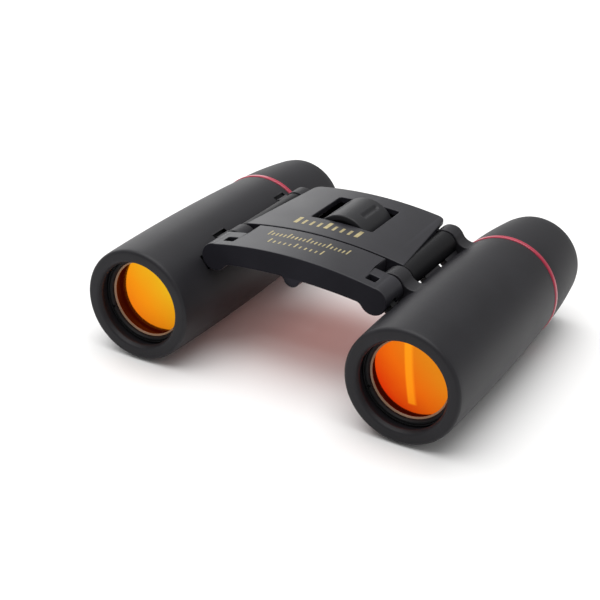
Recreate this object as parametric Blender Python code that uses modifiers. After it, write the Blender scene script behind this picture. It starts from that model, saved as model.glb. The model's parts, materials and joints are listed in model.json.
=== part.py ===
"""Folding compact binoculars with 22 mm roof-prism optics, modelled piece by piece.

The script works in metres, +Z up. The origin is on the table under the middle of the open
instrument, +X runs towards the user's left barrel and +Y towards the eyepieces.
Dimensions are in millimetres and every depth is measured back from the objective rims.
"""

import math

import bmesh
import bpy
from mathutils import Matrix

MM = 0.001

# Overall layout
LENGTH = 95.0
BARREL_RADIUS = 16.9
BARREL_X = 40.7
BARREL_Z = BARREL_RADIUS
HINGE_X = 24.5
HINGE_Z = 30.6
FOCUS_Z = 29.9
SIDES = {"left": 1, "right": -1}
HINGE_REACH = math.hypot(BARREL_X - HINGE_X, HINGE_Z - BARREL_Z)
ROUND_STEPS = 32
INNER_STEPS = 24
SMALL_STEPS = 16

# Barrel tube: a long crowned outer wall, a lipped mouth and a rear neck
CROWN_DEPTH = 30.0
CROWN_RADIUS = 877.0
EDGE_ROUND = 1.1
MOUTH_RADIUS = 12.4
MOUTH_ROUND = 0.5
LIP_THICKNESS = 1.6
GUIDE_RADIUS = 13.3
GUIDE_END = 22.0
CHAMBER_RADIUS = 14.8
CHAMBER_END = 64.0
BARREL_END = 68.2
NECK_RADIUS = 11.8
SPIGOT_RADIUS = 14.6
SPIGOT_END = 69.6

# Hinges: each barrel has two lugs, one in front of the bridge tube and one behind it
KNUCKLE_RADIUS = 4.0
LUG_UPPER_FILLET = 3.5
LUG_LOWER_FILLET = 1.5
LUG_ROOT_RADIUS = 15.6
MID_LUG = (25.3, 31.2)
REAR_LUG = (60.3, 65.5)
PIN_RADIUS = 1.25
PIN_BORE = 1.33
CRADLE_RADIUS = 3.95
CRADLE_HALF_ANGLE = 18.0
CRADLE_ROOT = 5.6
CRADLES = ((31.0, 35.4), (39.6, 48.8), (53.0, 60.5))
RECESS_ALONG = (3.6, 6.4)
RECESS_ASIDE = (4.2, 5.6)
RECESS_OVERRUN = 0.5

# Rear bridge: an arched shell between the two hinge tubes
ARCH_TOP = 37.0
ARCH_RADIUS = 125.0
BRIDGE_FRONT = 31.9
BRIDGE_TUBE_END = 60.0
BRIDGE_REAR = 67.0
BRIDGE_REAR_HALF = 19.8
BRIDGE_BOTTOM = 28.0
TUBE_RADIUS = 3.7
PLATE_FRONT_HALF = 24.8
EAR_HALF = 21.5
EAR_THICKNESS = 1.4
EAR_CORNER = 2.2
SHELL = 1.8
END_WALL = 2.4
BRIDGE_LOW = 26.0
CAVITY_HALF = 18.2
SLOT_HALF = 9.7
SLOT = (42.5, 60.3)
BEARING_RADIUS = 3.2
POST_RADIUS = 1.9
POST_LOW = 29.6
POST_HIGH = 35.0
COVER_Z = (28.1, 29.3)
COVER_GAP = 0.3
CHANNEL_OUTER = 3.6
CHANNEL_INNER = 2.9
SCREW_X = 15.5
SCREW_DEPTHS = {"front": 37.5, "rear": 61.9}
SCREW_HEAD_RADIUS = 1.6
SCREW_HEAD = 0.7
SCREW_SHANK_RADIUS = 0.75
SCREW_TIP = 33.5
PILOT_RADIUS = 0.85
HEAD_POCKET_RADIUS = 1.85
HEAD_POCKET_TOP = 28.9

# Focus drive: wheel, screw, clip and the nut in the sliding front bridge
WHEEL_RADIUS = 9.0
WHEEL = (43.3, 59.5)
WHEEL_STEPS = 48
GROOVES = 6
GROOVE_RADIUS = 1.5
GROOVE_CENTRE = 9.8
GROOVE_PHASE = 4.0
GROOVE = (47.4, 57.6)
FOCUS_SCREW_RADIUS = 1.5
FOCUS_SCREW = (23.0, 65.8)
FOCUS_BORE = 1.56
CLIP = (60.6, 61.3)
CLIP_RADIUS = 2.7
NUT = (24.6, 30.9)
NUT_RADIUS = 2.25
NUT_POCKET_RADIUS = 2.35
NUT_POCKET_FRONT = 24.3

# Front bridge: a thick arched bar that ends in two forks
FORK_FRONT = 14.5
FORK_REAR = 31.2
UNDERSIDE_TOP = 30.5
UNDERSIDE_RADIUS = 164.0
UNDERSIDE_FILLET = 2.5
RIB_RADIUS = 2.5
RIB_Z = 30.5
RIB_FILLET = 1.5
NUT_BOSS_RADIUS = 3.3
NUT_BOSS_FRONT = 21.5
SCREW_TUNNEL_RADIUS = 1.7
SCREW_TUNNEL_FRONT = 22.3
FORK_INNER_X = 19.8
FORK_GAP = (17.5, 20.5)
FORK_WINDOW = (20.4, 23.4)
FORK_CAP_BORE = 3.3
FORK_NOTCH = (24.5, 33.0)
LINK_PIN_RADIUS = 1.1
LINK_PIN = (15.7, 24.2)
LINK_BORE_FRONT = 15.4
LINK_BORE = 1.18

# Objective group: the cell slides in the barrel and its arm reaches the front bridge
CELL = (4.4, 21.0)
CELL_RADIUS = 13.0
CELL_SEAT_RADIUS = 12.5
CELL_SHOULDER = 11.7
CELL_BORE = 11.4
CELL_REAR_BORE = 11.9
RING = (4.4, 5.7)
RING_OUTER = 12.3
RING_INNER = 11.1
OBJECTIVE_RADIUS = 12.2
CROWN_SURFACES = (4.9, 6.2, 7.6, 9.2)
FLINT_SURFACES = (9.5, 7.9, 11.4, 11.4)
ARM = (17.7, 20.3)
ARM_KNUCKLE = 3.0
ARM_HALF_WIDTH = 1.6
ARM_SLOT = (14.9, 20.7)
ARM_SLOT_HALF = 2.2

# Prisms and their cage inside each barrel
CAGE = (36.0, 61.5)
CAGE_RADIUS = 14.4
CAGE_POCKET_HALF_X = 8.4
CAGE_POCKET_HALF_Z = 9.6
PRISM_HALF_WIDTH = 8.0
PRISM_HALF_HEIGHT = 8.6
PRISM_TILT = 22.5
HALF_PENTA_FRONT = 38.0
HALF_PENTA_FOOT = 41.5
HALF_PENTA_CHAMFER = 4.0
PRISM_AIR_GAP = 0.7
ROOF_REAR = 60.0
ROOF_CHAMFER = 6.0

# Eyepieces
TRIM = (68.45, 69.6)
TRIM_OUTER = 16.3
TRIM_INNER = 14.9
EYEPIECE_TUBE = (62.0, 87.4)
EYEPIECE_OUTER = 11.5
EYEPIECE_INNER = 10.4
EYEPIECE_FLANGE = 14.4
EYEPIECE_FLANGE_END = 63.6
EYECUP_FRONT = 69.9
EYECUP_RADIUS = 16.1
EYECUP_TAPER = 2.3
EYECUP_POWER = 1.6
EYECUP_EDGE = 1.7
EYECUP_BORE = 11.9
EYECUP_SEAT = 88.1
EYECUP_PUPIL = 7.2
EYECUP_PUPIL_END = 88.9
EYECUP_MOUTH = 11.0
OCULAR = (64.0, 86.8)
OCULAR_OUTER = 10.1
OCULAR_INNER = 8.7
OCULAR_REAR_LIP = 8.0
OCULAR_LIP_DEPTH = 66.0
EYE_LENS_RADIUS = 8.5
FIELD_LENS_SURFACES = (66.4, 67.4, 69.0, 70.6)
EYE_LENS_SURFACES = (79.6, 81.0, 82.4, 84.4)
RETAINER = (84.9, 86.6)
RETAINER_INNER = 6.8

# Finishes: base colour, roughness and metallic value
BLACK_RUBBER = ((0.012, 0.012, 0.014), 0.62, 0.0)
DARK_SHELL = ((0.030, 0.030, 0.034), 0.50, 0.0)
INNER_PLASTIC = ((0.010, 0.010, 0.011), 0.70, 0.0)
RED_TRIM = ((0.62, 0.02, 0.06), 0.38, 0.0)
STEEL = ((0.56, 0.56, 0.58), 0.28, 1.0)
BRASS = ((0.72, 0.52, 0.22), 0.32, 1.0)
BLACK_METAL = ((0.02, 0.02, 0.022), 0.40, 1.0)
AMBER_GLASS = ((1.0, 0.34, 0.02), 0.04, 0.0)
CLEAR_GLASS = ((0.86, 0.92, 0.95), 0.03, 0.0)


def world_y(depth):
    """World Y in metres of a depth behind the objective rims."""
    return (depth - LENGTH / 2) * MM


def clear_scene():
    for obj in list(bpy.data.objects):
        bpy.data.objects.remove(obj, do_unlink=True)


def new_collection(name):
    made = bpy.data.collections.new(name)
    bpy.context.scene.collection.children.link(made)
    return made


def make_empty(name, location):
    """A joint axis: the pieces of one moving body are parented to it."""
    obj = bpy.data.objects.new(name, None)
    obj.empty_display_type = "SINGLE_ARROW"
    obj.empty_display_size = 10 * MM
    obj.location = [value * MM for value in location]
    parts.objects.link(obj)
    bpy.context.view_layer.update()
    return obj


def make_material(name, finish):
    colour, roughness, metallic = finish
    made = bpy.data.materials.new(name)
    made.use_nodes = True
    shader = made.node_tree.nodes["Principled BSDF"]
    shader.inputs["Base Color"].default_value = (*colour, 1.0)
    shader.inputs["Roughness"].default_value = roughness
    shader.inputs["Metallic"].default_value = metallic
    return made


def place(name, mesh, matrix, home, finish=None):
    """Adds a part, or a cutter where it has no finish, and hangs it on its joint's empty."""
    obj = bpy.data.objects.new(name, mesh)
    (parts if finish else cutters).objects.link(obj)
    obj.matrix_world = matrix
    if finish:
        mesh.materials.append(make_material(name, finish))
        mesh.shade_smooth()
        mesh.set_sharp_from_angle(angle=math.radians(35))
    else:
        obj.hide_render = True
        obj.display_type = "WIRE"
    if home:
        obj.parent = home
        obj.matrix_parent_inverse = home.matrix_world.inverted()
    return obj


def mesh_from(shape, name):
    mesh = bpy.data.meshes.new(name)
    shape.to_mesh(mesh)
    shape.free()
    return mesh


def along_y(x, z):
    """Turns local +Z to world +Y, about a line through (x, z)."""
    return Matrix.Translation((x * MM, 0, z * MM)) @ Matrix.Rotation(-math.pi / 2, 4, "X")


def turned(name, profile, matrix, home, finish, steps):
    """A solid of revolution about local Z.

    The profile holds (radius, height) pairs in metres, down the outer side and up the bore.
    A profile that starts and ends on the axis stays open there.
    """
    shape = bmesh.new()
    points = [shape.verts.new((radius, 0, height)) for radius, height in profile]
    ends = list(zip(points, points[1:]))
    if profile[0][0] > 0:
        ends.append((points[-1], points[0]))
    for end in ends:
        shape.edges.new(end)
    obj = place(name, mesh_from(shape, name), matrix, home, finish)
    screw = obj.modifiers.new("turn", "SCREW")
    screw.axis = "Z"
    screw.steps = steps
    screw.render_steps = steps
    screw.use_merge_vertices = True
    screw.merge_threshold = 0.000001
    screw.use_smooth_shade = True
    return obj


def turned_part(name, profile, side, home, finish, steps=INNER_STEPS):
    """A turned piece about a barrel's axis, its profile in (radius, depth)."""
    scaled = [(radius * MM, world_y(depth)) for radius, depth in profile]
    return turned(name, scaled, along_y(side * BARREL_X, BARREL_Z), home, finish, steps)


def sleeve(outer, inner, span):
    """The profile of a plain ring between two depths."""
    front, rear = span
    return [(outer, rear), (outer, front), (inner, front), (inner, rear)]


def rod(name, radius, span, x, z, home, finish=None, steps=SMALL_STEPS):
    """A plain round bar along Y between two depths."""
    front, rear = span
    shape = bmesh.new()
    bmesh.ops.create_cone(
        shape,
        cap_ends=True,
        segments=steps,
        radius1=radius * MM,
        radius2=radius * MM,
        depth=(rear - front) * MM,
        matrix=Matrix.Translation((0, 0, world_y((front + rear) / 2))),
    )
    return place(name, mesh_from(shape, name), along_y(x, z), home, finish)


def post(name, radius, low, high, x, depth, home):
    """A plain upright cylinder, used as a helper for a boss or a hole."""
    shape = bmesh.new()
    bmesh.ops.create_cone(
        shape,
        cap_ends=True,
        segments=SMALL_STEPS,
        radius1=radius * MM,
        radius2=radius * MM,
        depth=(high - low) * MM,
    )
    centre = Matrix.Translation((x * MM, world_y(depth), (low + high) / 2 * MM))
    return place(name, mesh_from(shape, name), centre, home)


def block(name, x_span, depth_span, z_span, home):
    """A box cutter, stated by its two ends along each axis."""
    shape = bmesh.new()
    bmesh.ops.create_cube(shape, size=1.0)
    size = [(high - low) * MM for low, high in (x_span, depth_span, z_span)]
    bmesh.ops.scale(shape, vec=size, verts=shape.verts)
    centre = (sum(x_span) / 2 * MM, world_y(sum(depth_span) / 2), sum(z_span) / 2 * MM)
    return place(name, mesh_from(shape, name), Matrix.Translation(centre), home)


def extruded(name, outline, thickness, matrix, home, finish=None):
    """A flat outline in millimetres, given thickness along its local Z."""
    curve = bpy.data.curves.new(name, "CURVE")
    curve.dimensions = "2D"
    curve.fill_mode = "BOTH"
    curve.extrude = thickness / 2 * MM
    spline = curve.splines.new("POLY")
    spline.points.add(len(outline) - 1)
    for point, (across, up) in zip(spline.points, outline):
        point.co = (across * MM, up * MM, 0, 1)
    spline.use_cyclic_u = True
    guide = bpy.data.objects.new(name, curve)
    cutters.objects.link(guide)
    graph = bpy.context.evaluated_depsgraph_get()
    mesh = bpy.data.meshes.new_from_object(guide.evaluated_get(graph))
    bpy.data.objects.remove(guide)
    bpy.data.curves.remove(curve)
    shape = bmesh.new()
    shape.from_mesh(mesh)
    bmesh.ops.remove_doubles(shape, verts=shape.verts, dist=0.000001)
    bmesh.ops.recalc_face_normals(shape, faces=shape.faces)
    shape.to_mesh(mesh)
    shape.free()
    return place(name, mesh, matrix, home, finish)


def section(name, outline, span, home, finish=None):
    """An (x, z) outline extruded along Y between two depths."""
    front, rear = span
    upright = Matrix.Rotation(math.pi / 2, 4, "X")
    centre = Matrix.Translation((0, world_y((front + rear) / 2), 0))
    return extruded(name, outline, rear - front, centre @ upright, home, finish)


def plan(name, outline, z_span, home, finish=None):
    """An (x, depth) outline extruded upwards between two heights."""
    low, high = z_span
    centre = Matrix.Translation((0, world_y(0), (low + high) / 2 * MM))
    return extruded(name, outline, high - low, centre, home, finish)


def combine(target, tool, operation):
    change = target.modifiers.new(tool.name, "BOOLEAN")
    change.operation = operation
    change.solver = "EXACT"
    change.object = tool


def join(target, tool):
    combine(target, tool, "UNION")


def cut(target, tool):
    combine(target, tool, "DIFFERENCE")


def arc(centre, radius, start, end, steps):
    """Points on an arc between two angles in degrees, both ends included."""
    angles = [math.radians(start + (end - start) * index / steps) for index in range(steps + 1)]
    return [
        (centre[0] + radius * math.cos(angle), centre[1] + radius * math.sin(angle))
        for angle in angles
    ]


def arch(top, radius, half_width, steps):
    """Points along a shallow arch, from -X to +X."""
    across = [half_width * (2 * index / steps - 1) for index in range(steps + 1)]
    return [(x, top - radius + math.sqrt(radius**2 - x**2)) for x in across]


def mirrored(points):
    return [(-x, z) for x, z in reversed(points)]


def from_hinge(side, along, aside):
    """The (x, z) point at distances along and above the line from hinge to barrel axis."""
    run = (BARREL_X - HINGE_X) / HINGE_REACH
    fall = (HINGE_Z - BARREL_Z) / HINGE_REACH
    x = HINGE_X + along * run + aside * fall
    return side * x, HINGE_Z - along * fall + aside * run


def barrel_wall(depth):
    """The crowned outer radius of the barrel at a depth."""
    return BARREL_RADIUS - (depth - CROWN_DEPTH) ** 2 / (2 * CROWN_RADIUS)


def fillet_centre(barrel_radius, fillet):
    """Centre of the arc that touches both the knuckle and the barrel, from the hinge."""
    near = KNUCKLE_RADIUS + fillet
    far = barrel_radius + fillet
    cosine = (near**2 + HINGE_REACH**2 - far**2) / (2 * near * HINGE_REACH)
    angle = math.acos(cosine)
    return near * math.cos(angle), near * math.sin(angle), math.degrees(angle)


def lug_outline(side, barrel_radius):
    """A knuckle round the hinge line, blended into the barrel by a fillet on either side."""
    upper_x, upper_z, upper_angle = fillet_centre(barrel_radius, LUG_UPPER_FILLET)
    lower_x, lower_z, lower_angle = fillet_centre(barrel_radius, LUG_LOWER_FILLET)
    upper_foot = math.degrees(math.atan2(-upper_z, HINGE_REACH - upper_x))
    lower_foot = math.degrees(math.atan2(lower_z, HINGE_REACH - lower_x))
    points = arc((0, 0), KNUCKLE_RADIUS, upper_angle, 360 - lower_angle, 12)
    points += arc((lower_x, -lower_z), LUG_LOWER_FILLET, 180 - lower_angle, lower_foot, 4)[1:]
    points += arc((HINGE_REACH, 0), LUG_ROOT_RADIUS, 180 + lower_foot, 180 + upper_foot, 6)
    points += arc((upper_x, upper_z), LUG_UPPER_FILLET, upper_foot, upper_angle - 180, 5)[:-1]
    return [from_hinge(side, along, aside) for along, aside in points]


def cradle_outline():
    """The low rib on the barrel that closes the gap under the hinge tube, from the hinge."""
    face = arc((0, 0), CRADLE_RADIUS, -CRADLE_HALF_ANGLE, CRADLE_HALF_ANGLE, 5)
    return face + [(CRADLE_ROOT, face[-1][1]), (CRADLE_ROOT, face[0][1])]


def cut_lug_recesses(barrel, side, home):
    """The narrow pocket at the outer foot of each lug of the right barrel."""
    corners = [(along, aside) for along in RECESS_ALONG for aside in RECESS_ASIDE]
    outline = [from_hinge(side, *corners[index]) for index in (0, 1, 3, 2)]
    for label, span in (("mid", MID_LUG), ("rear", REAR_LUG)):
        depths = (span[0] - RECESS_OVERRUN, span[1] + RECESS_OVERRUN)
        cut(barrel, section(f"right_{label}_recess", outline, depths, home))


def barrel_profile():
    """From the rear spigot down the crowned wall, round the lip and back along the bore."""
    crown_start = EDGE_ROUND
    depths = [BARREL_END - (BARREL_END - crown_start) * index / 7 for index in range(8)]
    edge = barrel_wall(crown_start)
    profile = [(SPIGOT_RADIUS, SPIGOT_END), (SPIGOT_RADIUS, BARREL_END)]
    profile += [(barrel_wall(depth), depth) for depth in depths]
    profile += arc((edge - EDGE_ROUND, EDGE_ROUND), EDGE_ROUND, 0, -90, 3)[1:]
    profile += arc((MOUTH_RADIUS + MOUTH_ROUND, MOUTH_ROUND), MOUTH_ROUND, -90, -180, 2)
    profile += [
        (MOUTH_RADIUS, LIP_THICKNESS),
        (GUIDE_RADIUS, LIP_THICKNESS + 0.3),
        (GUIDE_RADIUS, GUIDE_END),
        (CHAMBER_RADIUS, GUIDE_END + 1.5),
        (CHAMBER_RADIUS, CHAMBER_END),
        (NECK_RADIUS, CHAMBER_END),
        (NECK_RADIUS, SPIGOT_END),
    ]
    return profile


def make_barrel(prefix, side, home):
    profile = barrel_profile()
    barrel = turned_part(prefix + "_barrel", profile, side, home, BLACK_RUBBER, ROUND_STEPS)
    for label, span in (("mid", MID_LUG), ("rear", REAR_LUG)):
        outline = lug_outline(side, barrel_wall(sum(span) / 2))
        join(barrel, section(f"{prefix}_{label}_lug", outline, span, home))
    outline = [from_hinge(side, along, aside) for along, aside in cradle_outline()]
    for index, span in enumerate(CRADLES):
        join(barrel, section(f"{prefix}_cradle_{index}", outline, span, home))
    bore_span = (MID_LUG[0] - 1, REAR_LUG[1] + 1)
    bore = rod(prefix + "_lug_bore", PIN_BORE, bore_span, side * HINGE_X, HINGE_Z, home)
    cut(barrel, bore)
    inner = HINGE_REACH - (GUIDE_RADIUS - 1)
    outer = HINGE_REACH - (BARREL_RADIUS + 1)
    corners = [
        (inner, -ARM_SLOT_HALF),
        (inner, ARM_SLOT_HALF),
        (outer, ARM_SLOT_HALF),
        (outer, -ARM_SLOT_HALF),
    ]
    outline = [from_hinge(side, along, aside) for along, aside in corners]
    cut(barrel, section(prefix + "_arm_slot", outline, ARM_SLOT, home))
    if prefix == "right":
        cut_lug_recesses(barrel, side, home)
    trim = sleeve(TRIM_OUTER, TRIM_INNER, TRIM)
    turned_part(prefix + "_trim_ring", trim, side, home, RED_TRIM, ROUND_STEPS)


def lens_profile(radius, surfaces):
    """A lens from its four depths: front centre, front rim, rear rim and rear centre."""
    front_centre, front_rim, rear_rim, rear_centre = surfaces
    ratios = (0.0, 0.6, 1.0)
    rear = [(radius * t, rear_centre + (rear_rim - rear_centre) * t**2) for t in ratios]
    front = [(radius * t, front_centre + (front_rim - front_centre) * t**2) for t in ratios]
    return rear + front[::-1]


def make_objective(prefix, side, home):
    """The sliding cell with its arm, the cemented pair of lenses and their screwed ring."""
    profile = [
        (CELL_RADIUS, CELL[1]),
        (CELL_RADIUS, CELL[0]),
        (CELL_SEAT_RADIUS, CELL[0]),
        (CELL_SEAT_RADIUS, CELL_SHOULDER),
        (CELL_BORE, CELL_SHOULDER),
        (CELL_BORE, CELL_SHOULDER + 1),
        (CELL_REAR_BORE, CELL_SHOULDER + 1.5),
        (CELL_REAR_BORE, CELL[1]),
    ]
    cell = turned_part(prefix + "_objective_cell", profile, side, home, INNER_PLASTIC)
    spread = math.degrees(math.asin(ARM_HALF_WIDTH / ARM_KNUCKLE))
    root = HINGE_REACH - (CELL_REAR_BORE + CELL_RADIUS) / 2
    outline = arc((0, 0), ARM_KNUCKLE, spread, 360 - spread, 12)
    outline += [(root, -ARM_HALF_WIDTH), (root, ARM_HALF_WIDTH)]
    outline = [from_hinge(side, along, aside) for along, aside in outline]
    join(cell, section(prefix + "_focus_arm", outline, ARM, home))
    bore_span = (ARM[0] - 1, ARM[1] + 1)
    cut(cell, rod(prefix + "_arm_bore", LINK_BORE, bore_span, side * HINGE_X, HINGE_Z, home))
    crown = lens_profile(OBJECTIVE_RADIUS, CROWN_SURFACES)
    flint = lens_profile(OBJECTIVE_RADIUS, FLINT_SURFACES)
    turned_part(prefix + "_objective_crown_lens", crown, side, home, AMBER_GLASS)
    turned_part(prefix + "_objective_flint_lens", flint, side, home, CLEAR_GLASS)
    ring = sleeve(RING_OUTER, RING_INNER, RING)
    turned_part(prefix + "_objective_ring", ring, side, home, INNER_PLASTIC)


def make_prisms(prefix, side, home):
    """The moulded cage and, in its pocket, the half-penta and roof prisms."""
    bore = CAGE_RADIUS - 4
    profile = [
        (CAGE_RADIUS, CAGE[1]),
        (CAGE_RADIUS, CAGE[0]),
        (bore, CAGE[0]),
        (bore, CAGE[1]),
    ]
    cage = turned_part(prefix + "_prism_cage", profile, side, home, INNER_PLASTIC)
    middle = side * BARREL_X
    x_span = (middle - CAGE_POCKET_HALF_X, middle + CAGE_POCKET_HALF_X)
    z_span = (BARREL_Z - CAGE_POCKET_HALF_Z, BARREL_Z + CAGE_POCKET_HALF_Z)
    pocket = block(prefix + "_cage_pocket", x_span, (CAGE[0] - 1, CAGE[1] + 1), z_span, home)
    cut(cage, pocket)
    height = 2 * PRISM_HALF_HEIGHT
    lean = height * math.tan(math.radians(PRISM_TILT))
    low = -PRISM_HALF_HEIGHT
    high = PRISM_HALF_HEIGHT
    half_penta = [
        (HALF_PENTA_FRONT, low),
        (HALF_PENTA_FOOT, low),
        (HALF_PENTA_FOOT + lean, high),
        (HALF_PENTA_FRONT + HALF_PENTA_CHAMFER, high),
        (HALF_PENTA_FRONT, high - HALF_PENTA_CHAMFER),
    ]
    foot = HALF_PENTA_FOOT + PRISM_AIR_GAP
    roof = [
        (foot, low),
        (ROOF_REAR - ROOF_CHAMFER, low),
        (ROOF_REAR, low + ROOF_CHAMFER),
        (ROOF_REAR, high),
        (foot + lean, high),
    ]
    sideways = Matrix.Rotation(math.pi / 2, 4, "Z") @ Matrix.Rotation(math.pi / 2, 4, "X")
    centre = Matrix.Translation((middle * MM, world_y(0), BARREL_Z * MM))
    for label, outline in (("half_penta_prism", half_penta), ("roof_prism", roof)):
        width = 2 * PRISM_HALF_WIDTH
        extruded(f"{prefix}_{label}", outline, width, centre @ sideways, home, CLEAR_GLASS)


def eyecup_wall(depth):
    """The domed outer radius of the eyecup at a depth."""
    run = (depth - EYECUP_FRONT) / (LENGTH - EYECUP_FRONT)
    return EYECUP_RADIUS - EYECUP_TAPER * run**EYECUP_POWER


def eyecup_profile():
    """From the rounded rear edge down the dome, then the tube bore and the funnel."""
    edge_depth = LENGTH - EYECUP_EDGE
    depths = [edge_depth - (edge_depth - EYECUP_FRONT) * index / 5 for index in range(6)]
    edge = eyecup_wall(edge_depth)
    profile = arc((edge - EYECUP_EDGE, edge_depth), EYECUP_EDGE, 90, 0, 3)[:-1]
    profile += [(eyecup_wall(depth), depth) for depth in depths]
    profile += [
        (EYECUP_BORE, EYECUP_FRONT),
        (EYECUP_BORE, EYECUP_SEAT),
        (EYECUP_PUPIL, EYECUP_SEAT),
        (EYECUP_PUPIL, EYECUP_PUPIL_END),
        (EYECUP_MOUTH - 1.0, LENGTH - 2.0),
        (EYECUP_MOUTH, LENGTH - 0.5),
    ]
    return profile


def make_eyepiece(prefix, side, barrel_home, ring_home, ocular_home):
    tube = [
        (EYEPIECE_OUTER, EYEPIECE_TUBE[1]),
        (EYEPIECE_OUTER, EYEPIECE_FLANGE_END),
        (EYEPIECE_FLANGE, EYEPIECE_FLANGE_END),
        (EYEPIECE_FLANGE, EYEPIECE_TUBE[0]),
        (EYEPIECE_INNER, EYEPIECE_TUBE[0]),
        (EYEPIECE_INNER, EYEPIECE_TUBE[1]),
    ]
    turned_part(prefix + "_eyepiece_tube", tube, side, barrel_home, INNER_PLASTIC)
    profile = eyecup_profile()
    turned_part(prefix + "_eyecup", profile, side, ring_home, BLACK_RUBBER, ROUND_STEPS)
    cell = [
        (OCULAR_OUTER, OCULAR[1]),
        (OCULAR_OUTER, OCULAR[0]),
        (OCULAR_REAR_LIP, OCULAR[0]),
        (OCULAR_REAR_LIP, OCULAR_LIP_DEPTH),
        (OCULAR_INNER, OCULAR_LIP_DEPTH),
        (OCULAR_INNER, OCULAR[1]),
    ]
    turned_part(prefix + "_ocular_cell", cell, side, ocular_home, BLACK_METAL)
    for label, surfaces in (("field_lens", FIELD_LENS_SURFACES), ("eye_lens", EYE_LENS_SURFACES)):
        profile = lens_profile(EYE_LENS_RADIUS, surfaces)
        turned_part(f"{prefix}_{label}", profile, side, ocular_home, CLEAR_GLASS)
    retainer = sleeve(EYE_LENS_RADIUS, RETAINER_INNER, RETAINER)
    turned_part(prefix + "_ocular_ring", retainer, side, ocular_home, INNER_PLASTIC)


def bridge_outline():
    """The arched top, upright sides and a flat bottom."""
    points = arch(ARCH_TOP, ARCH_RADIUS, PLATE_FRONT_HALF, 12)
    return points + [(PLATE_FRONT_HALF, BRIDGE_BOTTOM), (-PLATE_FRONT_HALF, BRIDGE_BOTTOM)]


def bridge_plan():
    """A plate that narrows towards the eyepieces, with rounded rear corners."""
    corner = (EAR_HALF - EAR_CORNER, BRIDGE_REAR - EAR_CORNER)
    right = [(PLATE_FRONT_HALF, BRIDGE_FRONT)] + arc(corner, EAR_CORNER, 0, 90, 4)
    return right + mirrored(right)


def ear_undercut(side):
    """What is cut from under each ear of the plate, down to the side wall of the bridge."""
    under = ARCH_TOP - EAR_THICKNESS
    edges = (BRIDGE_REAR_HALF, EAR_HALF, EAR_HALF + 1)
    points = [(x, under - x**2 / (2 * ARCH_RADIUS)) for x in edges]
    points += [(edges[-1], BRIDGE_LOW), (edges[0], BRIDGE_LOW)]
    return [(side * x, z) for x, z in points]


def make_bridge():
    outline = bridge_outline()
    frame = section("bridge_frame", outline, (BRIDGE_FRONT - 1, BRIDGE_REAR + 1), None, DARK_SHELL)
    combine(frame, plan("bridge_plan", bridge_plan(), (20, 45), None), "INTERSECT")
    for prefix, side in SIDES.items():
        span = (BRIDGE_TUBE_END, BRIDGE_REAR + 1)
        cut(frame, section(prefix + "_ear_undercut", ear_undercut(side), span, None))
        span = (BRIDGE_FRONT, BRIDGE_TUBE_END)
        name = prefix + "_hinge_tube"
        tube = rod(name, TUBE_RADIUS, span, side * HINGE_X, HINGE_Z, None, steps=ROUND_STEPS)
        join(frame, tube)
    cavity = arch(ARCH_TOP - SHELL, ARCH_RADIUS, CAVITY_HALF, 8)
    cavity += [(CAVITY_HALF, BRIDGE_LOW), (-CAVITY_HALF, BRIDGE_LOW)]
    inner_span = (BRIDGE_FRONT + END_WALL, BRIDGE_REAR - END_WALL)
    cut(frame, section("bridge_cavity", cavity, inner_span, None))
    bearings = {
        "front": (BRIDGE_FRONT + 0.1, BRIDGE_FRONT + END_WALL - 0.1),
        "rear": (BRIDGE_REAR - END_WALL + 0.1, BRIDGE_REAR - 0.2),
    }
    for label, span in bearings.items():
        join(frame, rod(f"{label}_bearing", BEARING_RADIUS, span, 0, FOCUS_Z, None))
    slot = block("wheel_slot", (-SLOT_HALF, SLOT_HALF), SLOT, (26, 40), None)
    cut(frame, slot)
    span = (BRIDGE_FRONT - 1, FOCUS_SCREW[1] + 0.3)
    cut(frame, rod("focus_bearing_bore", FOCUS_BORE, span, 0, FOCUS_Z, None))
    for prefix, side in SIDES.items():
        span = (BRIDGE_FRONT - 1, BRIDGE_TUBE_END + 1)
        bore = rod(prefix + "_tube_bore", PIN_BORE, span, side * HINGE_X, HINGE_Z, None)
        cut(frame, bore)
        span = (MID_LUG[0], REAR_LUG[1])
        rod(prefix + "_hinge_pin", PIN_RADIUS, span, side * HINGE_X, HINGE_Z, None, STEEL)
    cover = make_cover(slot)
    for prefix, side in SIDES.items():
        for label, depth in SCREW_DEPTHS.items():
            make_cover_screw(f"{prefix}_{label}", side * SCREW_X, depth, frame, cover)


def make_cover(slot):
    """The flat bottom plate, with a half-round channel that the focus screw runs in."""
    half = CAVITY_HALF - COVER_GAP
    front = BRIDGE_FRONT + END_WALL + COVER_GAP
    rear = BRIDGE_REAR - END_WALL - COVER_GAP
    right = arc((half - 1, front + 1), 1, -90, 0, 3) + arc((half - 1, rear - 1), 1, 0, 90, 3)
    cover = plan("bridge_bottom_cover", right + mirrored(right), COVER_Z, None, DARK_SHELL)
    span = (front + 0.1, rear - 0.1)
    join(cover, rod("screw_channel", CHANNEL_OUTER, span, 0, FOCUS_Z, None))
    above = (COVER_Z[1], ARCH_TOP)
    cut(cover, block("channel_top", (-SLOT_HALF, SLOT_HALF), (front - 1, rear + 1), above, None))
    span = (front - 1, rear + 1)
    cut(cover, rod("channel_bore", CHANNEL_INNER, span, 0, FOCUS_Z, None))
    cut(cover, slot)
    return cover


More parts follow.
